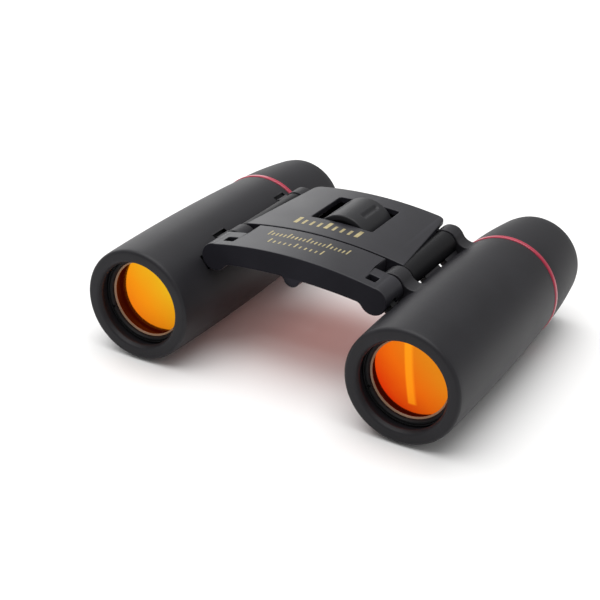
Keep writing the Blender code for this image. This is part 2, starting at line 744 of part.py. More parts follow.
def make_cover_screw(label, x, depth, frame, cover):
    """A countersunk screw through the bottom cover into a post of the bridge frame."""
    join(frame, post(label + "_post", POST_RADIUS, POST_LOW, POST_HIGH, x, depth, None))
    pilot = post(label + "_pilot", PILOT_RADIUS, COVER_Z[0] - 1, SCREW_TIP + 0.3, x, depth, None)
    cut(frame, pilot)
    cut(cover, pilot)
    pocket_span = (COVER_Z[0] - 1, HEAD_POCKET_TOP)
    cut(cover, post(label + "_head_pocket", HEAD_POCKET_RADIUS, *pocket_span, x, depth, None))
    head = COVER_Z[0] + SCREW_HEAD
    profile = [
        (0, SCREW_TIP),
        (SCREW_SHANK_RADIUS, SCREW_TIP),
        (SCREW_SHANK_RADIUS, head),
        (SCREW_HEAD_RADIUS, head),
        (SCREW_HEAD_RADIUS, COVER_Z[0]),
        (0, COVER_Z[0]),
    ]
    profile = [(radius * MM, height * MM) for radius, height in profile]
    centre = Matrix.Translation((x * MM, world_y(depth), 0))
    turned(f"{label}_cover_screw", profile, centre, None, STEEL, SMALL_STEPS)


def make_focus_drive(home):
    """A smooth drum with finger grooves between its plain rims, on a screw held by a clip."""
    wheel = rod("focus_wheel", WHEEL_RADIUS, WHEEL, 0, FOCUS_Z, home, BLACK_RUBBER, WHEEL_STEPS)
    for index in range(GROOVES):
        angle = math.radians(GROOVE_PHASE + 360 * index / GROOVES)
        x = GROOVE_CENTRE * math.cos(angle)
        z = FOCUS_Z + GROOVE_CENTRE * math.sin(angle)
        cut(wheel, rod(f"groove_{index}", GROOVE_RADIUS, GROOVE, x, z, home))
    span = (WHEEL[0] - 1, WHEEL[1] + 1)
    cut(wheel, rod("wheel_bore", FOCUS_BORE, span, 0, FOCUS_Z, home))
    rod("focus_screw", FOCUS_SCREW_RADIUS, FOCUS_SCREW, 0, FOCUS_Z, home, STEEL)
    ring = sleeve(CLIP_RADIUS, FOCUS_BORE, CLIP)
    ring = [(radius * MM, world_y(depth)) for radius, depth in ring]
    turned("focus_screw_clip", ring, along_y(0, FOCUS_Z), home, STEEL, SMALL_STEPS)


def front_bridge_outline():
    """The arched bar with a knuckle at each end and a rib under its middle."""
    points = arch(ARCH_TOP, ARCH_RADIUS, HINGE_X, 12)
    edge = FORK_INNER_X - 0.6
    underside = UNDERSIDE_TOP - edge**2 / (2 * UNDERSIDE_RADIUS)
    centre_z = underside - UNDERSIDE_FILLET
    reach = KNUCKLE_RADIUS + UNDERSIDE_FILLET
    drop = HINGE_Z - centre_z
    centre_x = HINGE_X - math.sqrt(reach**2 - drop**2)
    turn = math.degrees(math.asin(drop / reach))
    right = arc((HINGE_X, HINGE_Z), KNUCKLE_RADIUS, 90, turn - 180, 10)[1:]
    right += arc((centre_x, centre_z), UNDERSIDE_FILLET, turn, 90, 3)[1:]
    rib_drop = RIB_Z - (UNDERSIDE_TOP - RIB_FILLET)
    rib_turn = math.degrees(math.asin(rib_drop / (RIB_RADIUS + RIB_FILLET)))
    rib_x = math.sqrt((RIB_RADIUS + RIB_FILLET) ** 2 - rib_drop**2)
    for share in (0.66, 0.33):
        x = rib_x + (centre_x - rib_x) * share
        right.append((x, UNDERSIDE_TOP - x**2 / (2 * UNDERSIDE_RADIUS)))
    right += arc((rib_x, RIB_Z - rib_drop), RIB_FILLET, 90, 180 - rib_turn, 3)[:-1]
    right += arc((0, RIB_Z), RIB_RADIUS, -rib_turn, -90, 4)
    return points + right + mirrored(right)[1:]


def arm_channel(outer, low):
    """The room for the arm in each fork: round under the cap and open below the hinge line."""
    points = arc((HINGE_X, HINGE_Z), FORK_CAP_BORE, 0, 180, 8)
    return points + [(FORK_INNER_X, HINGE_Z), (FORK_INNER_X, low), (outer, low), (outer, HINGE_Z)]


def make_front_bridge(home):
    span = (FORK_FRONT, FORK_REAR)
    bar = section("front_bridge", front_bridge_outline(), span, home, DARK_SHELL)
    boss_span = (NUT_BOSS_FRONT, FORK_REAR - 0.1)
    join(bar, rod("nut_boss", NUT_BOSS_RADIUS, boss_span, 0, FOCUS_Z, home))
    pocket_span = (NUT_POCKET_FRONT, FORK_REAR + 1)
    cut(bar, rod("nut_pocket", NUT_POCKET_RADIUS, pocket_span, 0, FOCUS_Z, home))
    tunnel_span = (SCREW_TUNNEL_FRONT, NUT_POCKET_FRONT + 1)
    cut(bar, rod("screw_tunnel", SCREW_TUNNEL_RADIUS, tunnel_span, 0, FOCUS_Z, home))
    height = (20, 45)
    outer = HINGE_X + KNUCKLE_RADIUS + 1
    for prefix, side in SIDES.items():
        channel = [(side * x, z) for x, z in arm_channel(outer, height[0])]
        cut(bar, section(prefix + "_arm_channel", channel, FORK_GAP, home))
        x_span = sorted((side * FORK_WINDOW[0], side * FORK_WINDOW[1]))
        window_span = (HINGE_Z, height[1])
        cut(bar, block(prefix + "_fork_window", x_span, FORK_GAP, window_span, home))
        x_span = sorted((side * FORK_INNER_X, side * outer))
        cut(bar, block(prefix + "_lug_notch", x_span, FORK_NOTCH, height, home))
        bore_span = (LINK_BORE_FRONT, FORK_NOTCH[0] + 1)
        x = side * HINGE_X
        cut(bar, rod(prefix + "_link_bore", LINK_BORE, bore_span, x, HINGE_Z, home))
        rod(prefix + "_link_pin", LINK_PIN_RADIUS, LINK_PIN, x, HINGE_Z, home, STEEL)
    nut = sleeve(NUT_RADIUS, FOCUS_BORE, NUT)
    nut = [(radius * MM, world_y(depth)) for radius, depth in nut]
    turned("focus_nut", nut, along_y(0, FOCUS_Z), home, BRASS, SMALL_STEPS)


def main():
    middle = LENGTH / 2
    make_bridge()
    make_focus_drive(make_empty("focus_axis", (0, WHEEL[0] - middle, FOCUS_Z)))
    make_front_bridge(make_empty("front_bridge_slide", (0, FORK_FRONT - middle, FOCUS_Z)))
    for prefix, side in SIDES.items():
        hinge = (side * HINGE_X, MID_LUG[0] - middle, HINGE_Z)
        barrel_home = make_empty(prefix + "_fold_axis", hinge)
        slide = (side * BARREL_X, CELL[0] - middle, BARREL_Z)
        objective_home = make_empty(prefix + "_objective_slide", slide)
        ring = (side * BARREL_X, EYECUP_FRONT - middle, BARREL_Z)
        ring_home = make_empty(prefix + "_eyepiece_axis", ring)
        for home in (objective_home, ring_home):
            home.parent = barrel_home
            home.matrix_parent_inverse = barrel_home.matrix_world.inverted()
        bpy.context.view_layer.update()
        make_barrel(prefix, side, barrel_home)
        make_objective(prefix, side, objective_home)
        make_prisms(prefix, side, barrel_home)
        make_eyepiece(prefix, side, barrel_home, ring_home, ring_home)


clear_scene()
parts = new_collection("compact_binoculars")
cutters = new_collection("cutters")
main()
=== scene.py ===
"""Looks of the folding compact binoculars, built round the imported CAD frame.

The scene is in metres in the frame's own axes: +X towards the user's left barrel, +Y towards
the eyepieces, +Z up. The dimensions written here are in millimetres, and depths are measured
back from the objective rims, as in the CAD model.
"""

import json
import math

import bmesh
import bpy
from mathutils import Matrix, Vector


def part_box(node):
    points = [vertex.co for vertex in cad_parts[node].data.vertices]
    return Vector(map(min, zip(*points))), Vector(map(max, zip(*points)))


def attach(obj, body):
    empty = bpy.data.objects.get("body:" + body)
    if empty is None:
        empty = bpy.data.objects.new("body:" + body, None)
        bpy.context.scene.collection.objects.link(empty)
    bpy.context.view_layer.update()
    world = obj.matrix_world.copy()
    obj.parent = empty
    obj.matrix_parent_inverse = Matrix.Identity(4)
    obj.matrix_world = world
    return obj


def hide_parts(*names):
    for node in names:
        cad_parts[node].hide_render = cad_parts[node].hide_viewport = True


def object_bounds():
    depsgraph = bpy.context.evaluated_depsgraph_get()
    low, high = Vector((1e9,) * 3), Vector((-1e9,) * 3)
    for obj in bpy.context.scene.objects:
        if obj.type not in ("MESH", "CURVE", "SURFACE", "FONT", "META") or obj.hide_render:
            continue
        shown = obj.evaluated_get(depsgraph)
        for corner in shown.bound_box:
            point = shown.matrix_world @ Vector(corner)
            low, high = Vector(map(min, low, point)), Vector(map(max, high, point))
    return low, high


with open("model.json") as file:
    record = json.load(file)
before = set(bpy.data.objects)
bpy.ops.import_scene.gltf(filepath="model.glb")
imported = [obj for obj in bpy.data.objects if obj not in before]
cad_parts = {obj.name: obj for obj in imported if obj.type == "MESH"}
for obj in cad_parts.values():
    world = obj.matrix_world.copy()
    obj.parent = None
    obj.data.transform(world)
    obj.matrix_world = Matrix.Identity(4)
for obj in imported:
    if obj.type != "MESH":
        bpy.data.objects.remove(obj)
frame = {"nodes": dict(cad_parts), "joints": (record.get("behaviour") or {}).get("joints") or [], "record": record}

cad_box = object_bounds()

MM = 0.001
SIDES = {"left": 1, "right": -1}
CLEAR = (20, 45)
JOINTS = {joint["name"]: joint for joint in frame["joints"]}
FRONT_Y = cad_box[0][1]

# Places read from the frame
HINGE_X = JOINTS["left_fold"]["pos_m"][0] / MM
HINGE_Z = JOINTS["left_fold"]["pos_m"][2] / MM
FOCUS_Z = JOINTS["focus_turn"]["pos_m"][2] / MM
EYECUP_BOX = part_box("left_eyecup")
BARREL_X = (EYECUP_BOX[0].x + EYECUP_BOX[1].x) / 2 / MM
BARREL_Z = (EYECUP_BOX[0].z + EYECUP_BOX[1].z) / 2 / MM
HINGE_REACH = math.hypot(BARREL_X - HINGE_X, HINGE_Z - BARREL_Z)

# Barrel tube: its wall is an arc of the crown radius, widest at the crown depth
BARREL_RADIUS = 16.9
CROWN_DEPTH = 30.0
CROWN_RADIUS = 877.0
BARREL_END = 68.15

# Lugs, and the pocket at the foot of each lug of the right barrel, along and aside of the hinge-to-axis line
MID_LUG = (25.3, 31.2)
REAR_LUG = (60.3, 65.5)
KNUCKLE_RADIUS = 4.0
LUG_UPPER_FILLET = 3.5
LUG_LOWER_FILLET = 1.5
LUG_FLARE = 2.6
PIN_BORE = 1.33
RECESS_ALONG = (3.6, 6.2)
RECESS_ASIDE = (4.3, 5.4)
RECESS_OVERRUN = 0.2

# Slot for the focus arm, and the cradle ribs under the hinge tube
ARM_SLOT = (14.9, 20.7)
ARM_SLOT_HALF = 2.2
ARM_SLOT_WALL = (12.3, 17.9)
CRADLE_RADIUS = 3.8
CRADLE_HALF_ANGLE = 18
CRADLE_ROOT = 5.6
CRADLES = ((31.0, 35.4), (39.6, 48.8), (53.0, 60.5))

# Objective and focus arm
LENS_RADIUS = 11.0
LENS_FRONT = 4.9
LENS_SAG = 1.05
LENS_BACK = 7.6
NOTCH_REACH = 11.9
ARM_KNUCKLE = 3.0
ARM_HALF = 1.6
ARM_SPAN = (17.7, 20.3)
LINK_BORE = 1.18

# Bridge plate, its ears over the rear lugs, and the hinge tubes
ARCH_TOP = 37.0
ARCH_RADIUS = 125.0
BRIDGE_BOTTOM = 28.0
BRIDGE_FRONT = 31.9
BRIDGE_REAR = 67.0
PLATE_FRONT_HALF = 24.8
EAR_HALF = 21.5
EAR_CORNER = 2.2
EAR_THICKNESS = 1.4
EAR_START = 59.6
WALL_HALF = 19.8
TUBE_RADIUS = 3.7
TUBE_END = 60.0

# Room inside the bridge, its wheel slot and its bottom cover
SHELL = 1.8
CAVITY = (34.3, 64.6)
CAVITY_HALF = 18.2
SLOT = (42.5, 60.3)
SLOT_HALF = 9.7
FOCUS_BORE = 1.56
COVER_FACES = (28.1, 29.3)
COVER_ENDS = (34.6, 64.3)
COVER_HALF = 17.9
COVER_CORNER = 1.0
SCREW_X = 15.5
SCREW_DEPTHS = {"front": 37.5, "rear": 61.9}

# Sliding front bridge
BAR = (14.5, 31.2)
BAR_UNDERSIDE = 30.5
UNDERSIDE_RADIUS = 164.0
UNDERSIDE_HALF = 19.2
KNUCKLE_FILLET = 2.5
RIB_RADIUS = 2.5
RIB_FILLET = 1.5
FORK_GAP = (17.5, 20.5)
FORK_CAP = 3.3
FORK_INNER = 19.8
FORK_WINDOW = (20.4, 23.4)
LUG_NOTCH = 24.5


def world_y(depth):
    """World Y in metres of a depth behind the objective rims."""
    return FRONT_Y + depth * MM


def wider(span, extra):
    """A span that runs past both of its ends."""
    return span[0] - extra, span[1] + extra


def node_depths(node):
    """The front and rear depth of a CAD node."""
    low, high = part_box(node)
    return (low.y - FRONT_Y) / MM, (high.y - FRONT_Y) / MM


# ---------------------------------------------------------------- camera, lights and floor

CAMERA_AZIMUTH = 28.31
CAMERA_ELEVATION = 26.44
CAMERA_ROLL = 2.71
CAMERA_DISTANCE = 0.40638
CAMERA_LENS = 83.46
AIM = (0.0, 0.0015, 0.017)
AIM_RIGHT = -0.01372
AIM_UP = -0.00691


def make_camera():
    azimuth = math.radians(CAMERA_AZIMUTH)
    elevation = math.radians(CAMERA_ELEVATION)
    roll = math.radians(CAMERA_ROLL)
    back = Vector((
        math.sin(azimuth) * math.cos(elevation),
        -math.cos(azimuth) * math.cos(elevation),
        math.sin(elevation),
    ))
    right = Vector((math.cos(azimuth), math.sin(azimuth), 0))
    up = back.cross(right)
    aim = Vector(AIM) + right * AIM_RIGHT + up * AIM_UP
    rolled_right = right * math.cos(roll) + up * math.sin(roll)
    rolled_up = up * math.cos(roll) - right * math.sin(roll)
    camera = bpy.data.objects.new("camera", bpy.data.cameras.new("camera"))
    camera.data.lens = CAMERA_LENS
    camera.data.sensor_width = 36
    camera.data.clip_start = 0.01
    turn = Matrix((rolled_right, rolled_up, back)).transposed().to_4x4()
    camera.matrix_world = Matrix.Translation(aim + back * CAMERA_DISTANCE) @ turn
    bpy.context.scene.collection.objects.link(camera)
    bpy.context.scene.camera = camera


def area_light(name, place, target, size, power, colour=(1, 1, 1)):
    light = bpy.data.lights.new(name, "AREA")
    light.shape = "RECTANGLE"
    light.size, light.size_y = size
    light.energy = power
    light.color = colour
    obj = bpy.data.objects.new(name, light)
    obj.location = place
    direction = Vector(target) - Vector(place)
    obj.rotation_euler = direction.to_track_quat("-Z", "Y").to_euler()
    bpy.context.scene.collection.objects.link(obj)
    return obj


def make_stage():
    bpy.ops.mesh.primitive_plane_add(size=6, location=(0, 0, -0.00005))
    floor = bpy.context.object
    floor.name = "floor"
    material = bpy.data.materials.new("floor_white")
    material.use_nodes = True
    shader = material.node_tree.nodes["Principled BSDF"]
    shader.inputs["Base Color"].default_value = (0.86, 0.855, 0.85, 1)
    shader.inputs["Roughness"].default_value = 0.9
    shader.inputs["Specular IOR Level"].default_value = 0.1
    floor.data.materials.append(material)
    world = bpy.data.worlds.new("studio")
    world.use_nodes = True
    background = world.node_tree.nodes["Background"]
    background.inputs["Color"].default_value = (1, 1, 1, 1)
    background.inputs["Strength"].default_value = 0.46
    bpy.context.scene.world = world
    area_light("overhead_softbox", (-0.1, -0.05, 1.0), (0, 0, 0), (1.2, 1.2), 13.5)
    area_light("left_softbox", (-0.9, 0.7, 0.45), (0, 0, 0.02), (1.0, 0.8), 3.8)
    glow = area_light("lens_glow", (0, -0.005, 0.024), (0, -0.01, 0), (0.03, 0.05), 0.0036,
                      (1.0, 0.36, 0.30))
    glow.visible_glossy = False
    bpy.context.scene.view_settings.view_transform = "Standard"


# ---------------------------------------------------------------- materials

BLACK = (0, 0, 0)
WHITE = (1, 1, 1)
COAT_UNIT = 24.0


def new_material(name):
    """A new material, its node tree and its shader."""
    made = bpy.data.materials.new(name)
    made.use_nodes = True
    return made, made.node_tree, made.node_tree.nodes["Principled BSDF"]


def object_coords(tree):
    return tree.nodes.new("ShaderNodeTexCoord").outputs["Object"]


def noise(tree, coords, scale, detail=3.0, roughness=0.5):
    node = tree.nodes.new("ShaderNodeTexNoise")
    node.inputs["Scale"].default_value = scale
    node.inputs["Detail"].default_value = detail
    node.inputs["Roughness"].default_value = roughness
    tree.links.new(coords, node.inputs["Vector"])
    return node.outputs["Fac"]


def ramp(tree, value, stops):
    """A colour ramp through (position, colour) stops."""
    node = tree.nodes.new("ShaderNodeValToRGB")
    elements = node.color_ramp.elements
    while len(elements) < len(stops):
        elements.new(0.5)
    for element, (position, colour) in zip(elements, stops):
        element.position = position
        element.color = (*colour, 1)
    tree.links.new(value, node.inputs["Fac"])
    return node.outputs["Color"]


def spread(tree, value, low, high, start=0.0, end=1.0):
    """Maps the range from start to end onto the range from low to high."""
    node = tree.nodes.new("ShaderNodeMapRange")
    node.inputs["From Min"].default_value = start
    node.inputs["From Max"].default_value = end
    node.inputs["To Min"].default_value = low
    node.inputs["To Max"].default_value = high
    tree.links.new(value, node.inputs["Value"])
    return node.outputs["Result"]


def bump(tree, height, strength, distance):
    node = tree.nodes.new("ShaderNodeBump")
    node.inputs["Strength"].default_value = strength
    node.inputs["Distance"].default_value = distance
    tree.links.new(height, node.inputs["Height"])
    return node.outputs["Normal"]


def calculate(tree, operation, *values):
    """A math node fed with outputs or numbers."""
    node = tree.nodes.new("ShaderNodeMath")
    node.operation = operation
    for socket, value in zip(node.inputs, values):
        if isinstance(value, (int, float)):
            socket.default_value = value
        else:
            tree.links.new(value, socket)
    return node.outputs[0]


def mixed(tree, factor, under, over):
    """The colour output under, covered by the plain colour over as far as factor says."""
    node = tree.nodes.new("ShaderNodeMix")
    node.data_type = "RGBA"
    tree.links.new(factor, node.inputs["Factor"])
    tree.links.new(under, node.inputs["A"])
    node.inputs["B"].default_value = (*over, 1)
    return node.outputs["Result"]


def scaled(colour, factor):
    return tuple(min(1.0, channel * factor) for channel in colour)


def moulded(name, colour, roughness, grain_mm, grain_depth, wear=0.0, specular=0.5,
            painted_end_shade=1.0, **sockets):
    """Moulded plastic or rubber: mottled colour, fine grain, uneven gloss and worn edges.

    painted_end_shade is the part of the shine left on faces square to the barrels: painted shade that darkens the
    faces looking along the barrels.
    """
    made, tree, shader = new_material(name)
    coords = object_coords(tree)
    cloud = noise(tree, coords, 90, 4.0)
    tint = ramp(tree, cloud, [(0.3, scaled(colour, 0.86)), (0.7, scaled(colour, 1.14))])
    if wear:
        pointiness = tree.nodes.new("ShaderNodeNewGeometry").outputs["Pointiness"]
        edges = ramp(tree, pointiness, [(0.52, BLACK), (0.60, WHITE)])
        tint = mixed(tree, calculate(tree, "MULTIPLY", edges, wear), tint, scaled(colour, 3.0))
    tree.links.new(tint, shader.inputs["Base Color"])
    gloss = spread(tree, cloud, roughness - 0.05, roughness + 0.05)
    tree.links.new(gloss, shader.inputs["Roughness"])
    grain = noise(tree, coords, 1 / (grain_mm * MM), 2.0, 0.6)
    tree.links.new(bump(tree, grain, 0.35, grain_depth * MM), shader.inputs["Normal"])
    shader.inputs["Specular IOR Level"].default_value = specular
    # Painted shade: less shine on faces whose normal runs along Y darkens those faces.
    if painted_end_shade < 1:
        facing = tree.nodes.new("ShaderNodeSeparateXYZ")
        normal = tree.nodes.new("ShaderNodeNewGeometry").outputs["Normal"]
        tree.links.new(normal, facing.inputs["Vector"])
        square_on = calculate(tree, "ABSOLUTE", facing.outputs["Y"])
        end_shaded_shine = spread(tree, square_on, specular, specular * painted_end_shade, 0.6, 0.95)
        tree.links.new(end_shaded_shine, shader.inputs["Specular IOR Level"])
    for socket, value in sockets.items():
        shader.inputs[socket.replace("_", " ")].default_value = value
    return made


def machined(name, colour, roughness):
    """Turned metal with fine tool marks and slight tarnish."""
    made, tree, shader = new_material(name)
    coords = object_coords(tree)
    cloud = noise(tree, coords, 400, 3.0)
    tint = ramp(tree, cloud, [(0.3, scaled(colour, 0.75)), (0.7, scaled(colour, 1.1))])
    tree.links.new(tint, shader.inputs["Base Color"])
    shader.inputs["Metallic"].default_value = 1.0
    gloss = spread(tree, cloud, roughness - 0.06, roughness + 0.1)
    tree.links.new(gloss, shader.inputs["Roughness"])
    marks = noise(tree, coords, 1 / (0.12 * MM), 1.0)
    tree.links.new(bump(tree, marks, 0.25, 0.01 * MM), shader.inputs["Normal"])
    return made


def glass(name, colour):
    """Polished optical glass with a faint blue-green coating and a little dust."""
    made, tree, shader = new_material(name)
    coords = object_coords(tree)
    dust = noise(tree, coords, 2500, 2.0, 0.7)
    tree.links.new(spread(tree, dust, 0.02, 0.07), shader.inputs["Roughness"])
    cloud = noise(tree, coords, 120, 2.0)
    tint = ramp(tree, cloud, [(0.3, scaled(colour, 0.94)), (0.7, colour)])
    tree.links.new(tint, shader.inputs["Base Color"])
    shader.inputs["Transmission Weight"].default_value = 0.9
    shader.inputs["IOR"].default_value = 1.52
    return made


def amber_coating(name, side, warm, mid, deep, dish, vertex, painted_reflection):
    """A mirror coating whose colour runs from deep at the lower left to warm at the upper right.

    The cemented surface behind the front glass is hollow: dish is its depth in millimetres half a
    coat unit away from its lowest point, and vertex is the (x, z) place of that point. A painted
    reflection of this strength lightens a band down the middle that ends above the lower edge. A
    faint deep-red emission paints in light coming back from inside where the mirror shows nothing
    bright.
    """
    made, tree, shader = new_material(name)
    coords = object_coords(tree)
    mapping = tree.nodes.new("ShaderNodeMapping")
    mapping.vector_type = "POINT"
    centre = (-side * BARREL_X / COAT_UNIT, 0, -BARREL_Z / COAT_UNIT)
    mapping.inputs["Location"].default_value = centre
    mapping.inputs["Scale"].default_value = [1 / (COAT_UNIT * MM)] * 3
    tree.links.new(coords, mapping.inputs["Vector"])
    split = tree.nodes.new("ShaderNodeSeparateXYZ")
    tree.links.new(mapping.outputs["Vector"], split.inputs["Vector"])
    x, z = split.outputs["X"], split.outputs["Z"]
    haze = spread(tree, noise(tree, coords, 140, 2.0), 0.42, 0.58)
    slope = calculate(tree, "ADD", calculate(tree, "ADD", x, z), haze)
    tint = ramp(tree, slope, [(0.0, deep), (0.5, mid), (1.0, warm)])
    # Painted reflection: a lighter band in the coating colour stands in for a reflected streak.
    if painted_reflection:
        lit = (painted_reflection, painted_reflection, painted_reflection)
        across = calculate(tree, "ADD", calculate(tree, "MULTIPLY_ADD", z, 0.16, x), 0.5)
        stops = [(0.455, BLACK), (0.475, lit), (0.535, lit), (0.575, BLACK)]
        reflection_band = ramp(tree, across, stops)
        foot = ramp(tree, calculate(tree, "ADD", z, 0.5), [(0.2, BLACK), (0.22, WHITE)])
        tint = mixed(tree, calculate(tree, "MULTIPLY", reflection_band, foot), tint, (1.0, 0.36, 0.01))
    tree.links.new(tint, shader.inputs["Base Color"])
    dust = noise(tree, coords, 2500, 2.0, 0.7)
    tree.links.new(spread(tree, dust, 0.03, 0.07), shader.inputs["Roughness"])
    from_x = calculate(tree, "SUBTRACT", x, vertex[0] / COAT_UNIT)
    from_z = calculate(tree, "SUBTRACT", z, vertex[1] / COAT_UNIT)
    height = calculate(tree, "MULTIPLY", from_z, from_z)
    height = calculate(tree, "MULTIPLY_ADD", from_x, from_x, height)
    tree.links.new(bump(tree, height, 1.0, dish * 4 * MM), shader.inputs["Normal"])
    shader.inputs["Metallic"].default_value = 1.0
    # Painted glow: a faint deep-red emission stands in for light coming back from inside the barrel.
    shader.inputs["Emission Color"].default_value = (0.9, 0.05, 0.01, 1)
    shader.inputs["Emission Strength"].default_value = 0.035
    return made


def make_materials():
    return {
        "barrel_soft_touch": moulded(
            "soft_touch_black", (0.0125, 0.012, 0.0145), 0.50, 0.10, 0.02, wear=0.15,
            specular=0.3, painted_end_shade=0.75),
        "eyecup_rubber": moulded(
            "eyecup_rubber", (0.0125, 0.012, 0.0145), 0.56, 0.12, 0.025, wear=0.1, specular=0.3),
        "bridge_plastic": moulded(
            "satin_bridge_plastic", (0.0142, 0.0138, 0.0175), 0.38, 0.16, 0.015, wear=0.3,
            specular=0.36, painted_end_shade=0.08),
        # Darker copy of the bridge plastic for the hinge tubes: painted shade for the shade they sit in beside the
        # barrels.
        "shaded_tube_plastic": moulded(
            "shaded_tube_plastic", (0.005, 0.005, 0.006), 0.5, 0.16, 0.015, wear=0.2,
            specular=0.16),
        "wheel_rubber": moulded(
            "wheel_rubber", (0.014, 0.014, 0.016), 0.44, 0.12, 0.02, wear=0.2, specular=0.3),
        "red_trim": moulded(
            "crimson_trim", (0.36, 0.012, 0.042), 0.30, 0.2, 0.004, wear=0.1, Coat_Weight=0.3,
            Coat_Roughness=0.12),
        "inner_plastic": moulded(
            "inner_black", (0.004, 0.004, 0.005), 0.6, 0.1, 0.02, specular=0.3),
        "black_anodised": moulded(
            "black_anodised", (0.012, 0.012, 0.013), 0.35, 0.08, 0.008, wear=0.3),
        "steel": machined("turned_steel", (0.50, 0.50, 0.52), 0.30),
        "brass_nut": machined("turned_brass", (0.72, 0.50, 0.20), 0.32),
        "gold_print": machined("gold_print", (0.50, 0.43, 0.24), 0.5),
        "clear_glass": glass("optical_glass", (0.80, 0.90, 0.92)),
        "left_amber": amber_coating(
            "amber_coating_left", 1, (0.62, 0.20, 0.008), (0.70, 0.125, 0.004), (0.60, 0.03, 0.002),
            1.25, (0, 0), 0.6),
        "right_amber": amber_coating(
            "amber_coating_right", -1, (0.64, 0.37, 0.004), (0.72, 0.24, 0.0), (0.68, 0.13, 0.0),
            1.6, (-4.8, -2.8), 0),
        "lens_bevel": moulded("ground_lens_edge", (0.32, 0.19, 0.11), 0.35, 0.08, 0.01),
    }


# ---------------------------------------------------------------- geometry helpers

def arc(centre, radius, start, end, steps):
    """Points on an arc between two angles in degrees, both ends included."""
    angles = [math.radians(start + (end - start) * index / steps) for index in range(steps + 1)]
    return [
        (centre[0] + radius * math.cos(angle), centre[1] + radius * math.sin(angle))
        for angle in angles
    ]


def rounded(corners, closed=True):
    """A polyline from (across, along, fillet) corners, with each fillet as a smooth arc."""
    points = []
    count = len(corners)
    for index, (x, y, fillet) in enumerate(corners):
        inside = closed or 0 < index < count - 1
        here = Vector((x, y))
        before = Vector(corners[index - 1][:2]) - here
        after = Vector(corners[(index + 1) % count][:2]) - here
        if not fillet or not inside:
            points.append((x, y))
            continue
        half = before.angle(after) / 2
        reach = fillet / math.tan(half)
        reach = min(reach, before.length * 0.49, after.length * 0.49)
        radius = reach * math.tan(half)
        middle = (before.normalized() + after.normalized()).normalized()
        centre = here + middle * (radius / math.sin(half))
        start = here + before.normalized() * reach - centre
        end = here + after.normalized() * reach - centre
        sweep = start.angle_signed(end)
        steps = max(2, math.ceil(abs(math.degrees(sweep)) / 11))
        for step in range(steps + 1):
            angle = -sweep * step / steps
            turned = Matrix.Rotation(angle, 2) @ start
            points.append(tuple(centre + turned))
    return points


def close_mesh(shape, name):
    """Welds a drawn shape, turns its faces outwards and links it as an object."""
    bmesh.ops.remove_doubles(shape, verts=shape.verts, dist=0.0000005)
    bmesh.ops.recalc_face_normals(shape, faces=shape.faces)
    mesh = bpy.data.meshes.new(name)
    shape.to_mesh(mesh)
    shape.free()
    obj = bpy.data.objects.new(name, mesh)
    bpy.context.scene.collection.objects.link(obj)
    return obj


def lathe(name, profile, x, z, segments=144, shift=None):
    """Turns (radius, depth) points about a line parallel to Y.

    A profile that starts and ends on the axis is left open there. shift(angle, depth, radius)
    may change the radius of a point.
    """
    shape = bmesh.new()
    rings = []
    for index in range(segments):
        angle = 2 * math.pi * index / segments
        ring = []
        for radius, depth in profile:
            reach = shift(angle, depth, radius) if shift else radius
            place = (
                (x + reach * math.cos(angle)) * MM,
                world_y(depth),
                (z + reach * math.sin(angle)) * MM,
            )
            ring.append(shape.verts.new(place))
        rings.append(ring)
    closed = profile[0][0] > 0
    last = len(profile) if closed else len(profile) - 1
    for index in range(segments):
        here = rings[index]
        there = rings[(index + 1) % segments]
        for low in range(last):
            high = (low + 1) % len(profile)
            shape.faces.new((here[low], here[high], there[high], there[low]))
    return close_mesh(shape, name)


def extrude(name, outline, low, high, place):
    """Extrudes a closed outline; place turns two outline values and a distance into a point."""
    shape = bmesh.new()
    first = [shape.verts.new(place(a, b, low)) for a, b in outline]
    second = [shape.verts.new(place(a, b, high)) for a, b in outline]
    shape.faces.new(first)
    shape.faces.new(second)
    for index in range(len(outline)):
        after = (index + 1) % len(outline)
        shape.faces.new((first[index], first[after], second[after], second[index]))
    return close_mesh(shape, name)


def section_place(x, z, depth):
    return Vector((x * MM, world_y(depth), z * MM))


def plan_place(x, depth, z):
    return section_place(x, z, depth)


def section(name, outline, span):
    """Extrudes an (x, z) outline along the barrels, over a span of depths."""
    return extrude(name, outline, span[0], span[1], section_place)


def plan(name, outline, span):
    """Extrudes an (x, depth) outline upwards, over a span of heights."""
    return extrude(name, outline, span[0], span[1], plan_place)


def rod(name, radius, span, x, z, steps=64):
    """A solid round bar along the barrels."""
    profile = [(0, span[1]), (radius, span[1]), (radius, span[0]), (0, span[0])]
    return lathe(name, profile, x, z, steps)


def block(name, x_span, depth_span, z_span):
    (left, right), (low, high) = x_span, z_span
    return section(name, [(left, low), (left, high), (right, high), (right, low)], depth_span)


def add_modifier(obj, kind, **values):
    made = obj.modifiers.new(kind.lower(), kind)
    for key, value in values.items():
        setattr(made, key, value)


def bake(obj):
    """Replaces the mesh by what its modifiers make of it."""
    graph = bpy.context.evaluated_depsgraph_get()
    mesh = bpy.data.meshes.new_from_object(obj.evaluated_get(graph))
    obj.modifiers.clear()
    obj.data = mesh


def combine(obj, tools, operation):
    """Joins, cuts or intersects the object with each tool in turn and throws the tool away."""
    for tool in tools:
        add_modifier(obj, "BOOLEAN", object=tool, operation=operation, solver="EXACT")
        bake(obj)
        bpy.data.objects.remove(tool)


def join(obj, *tools):
    combine(obj, tools, "UNION")


def cut(obj, *tools):
    combine(obj, tools, "DIFFERENCE")


def shade(obj, angle=40):
    """Smooth shading, but for edges sharper than the angle in degrees."""
    obj.data.shade_smooth()
    obj.data.set_sharp_from_angle(angle=math.radians(angle))


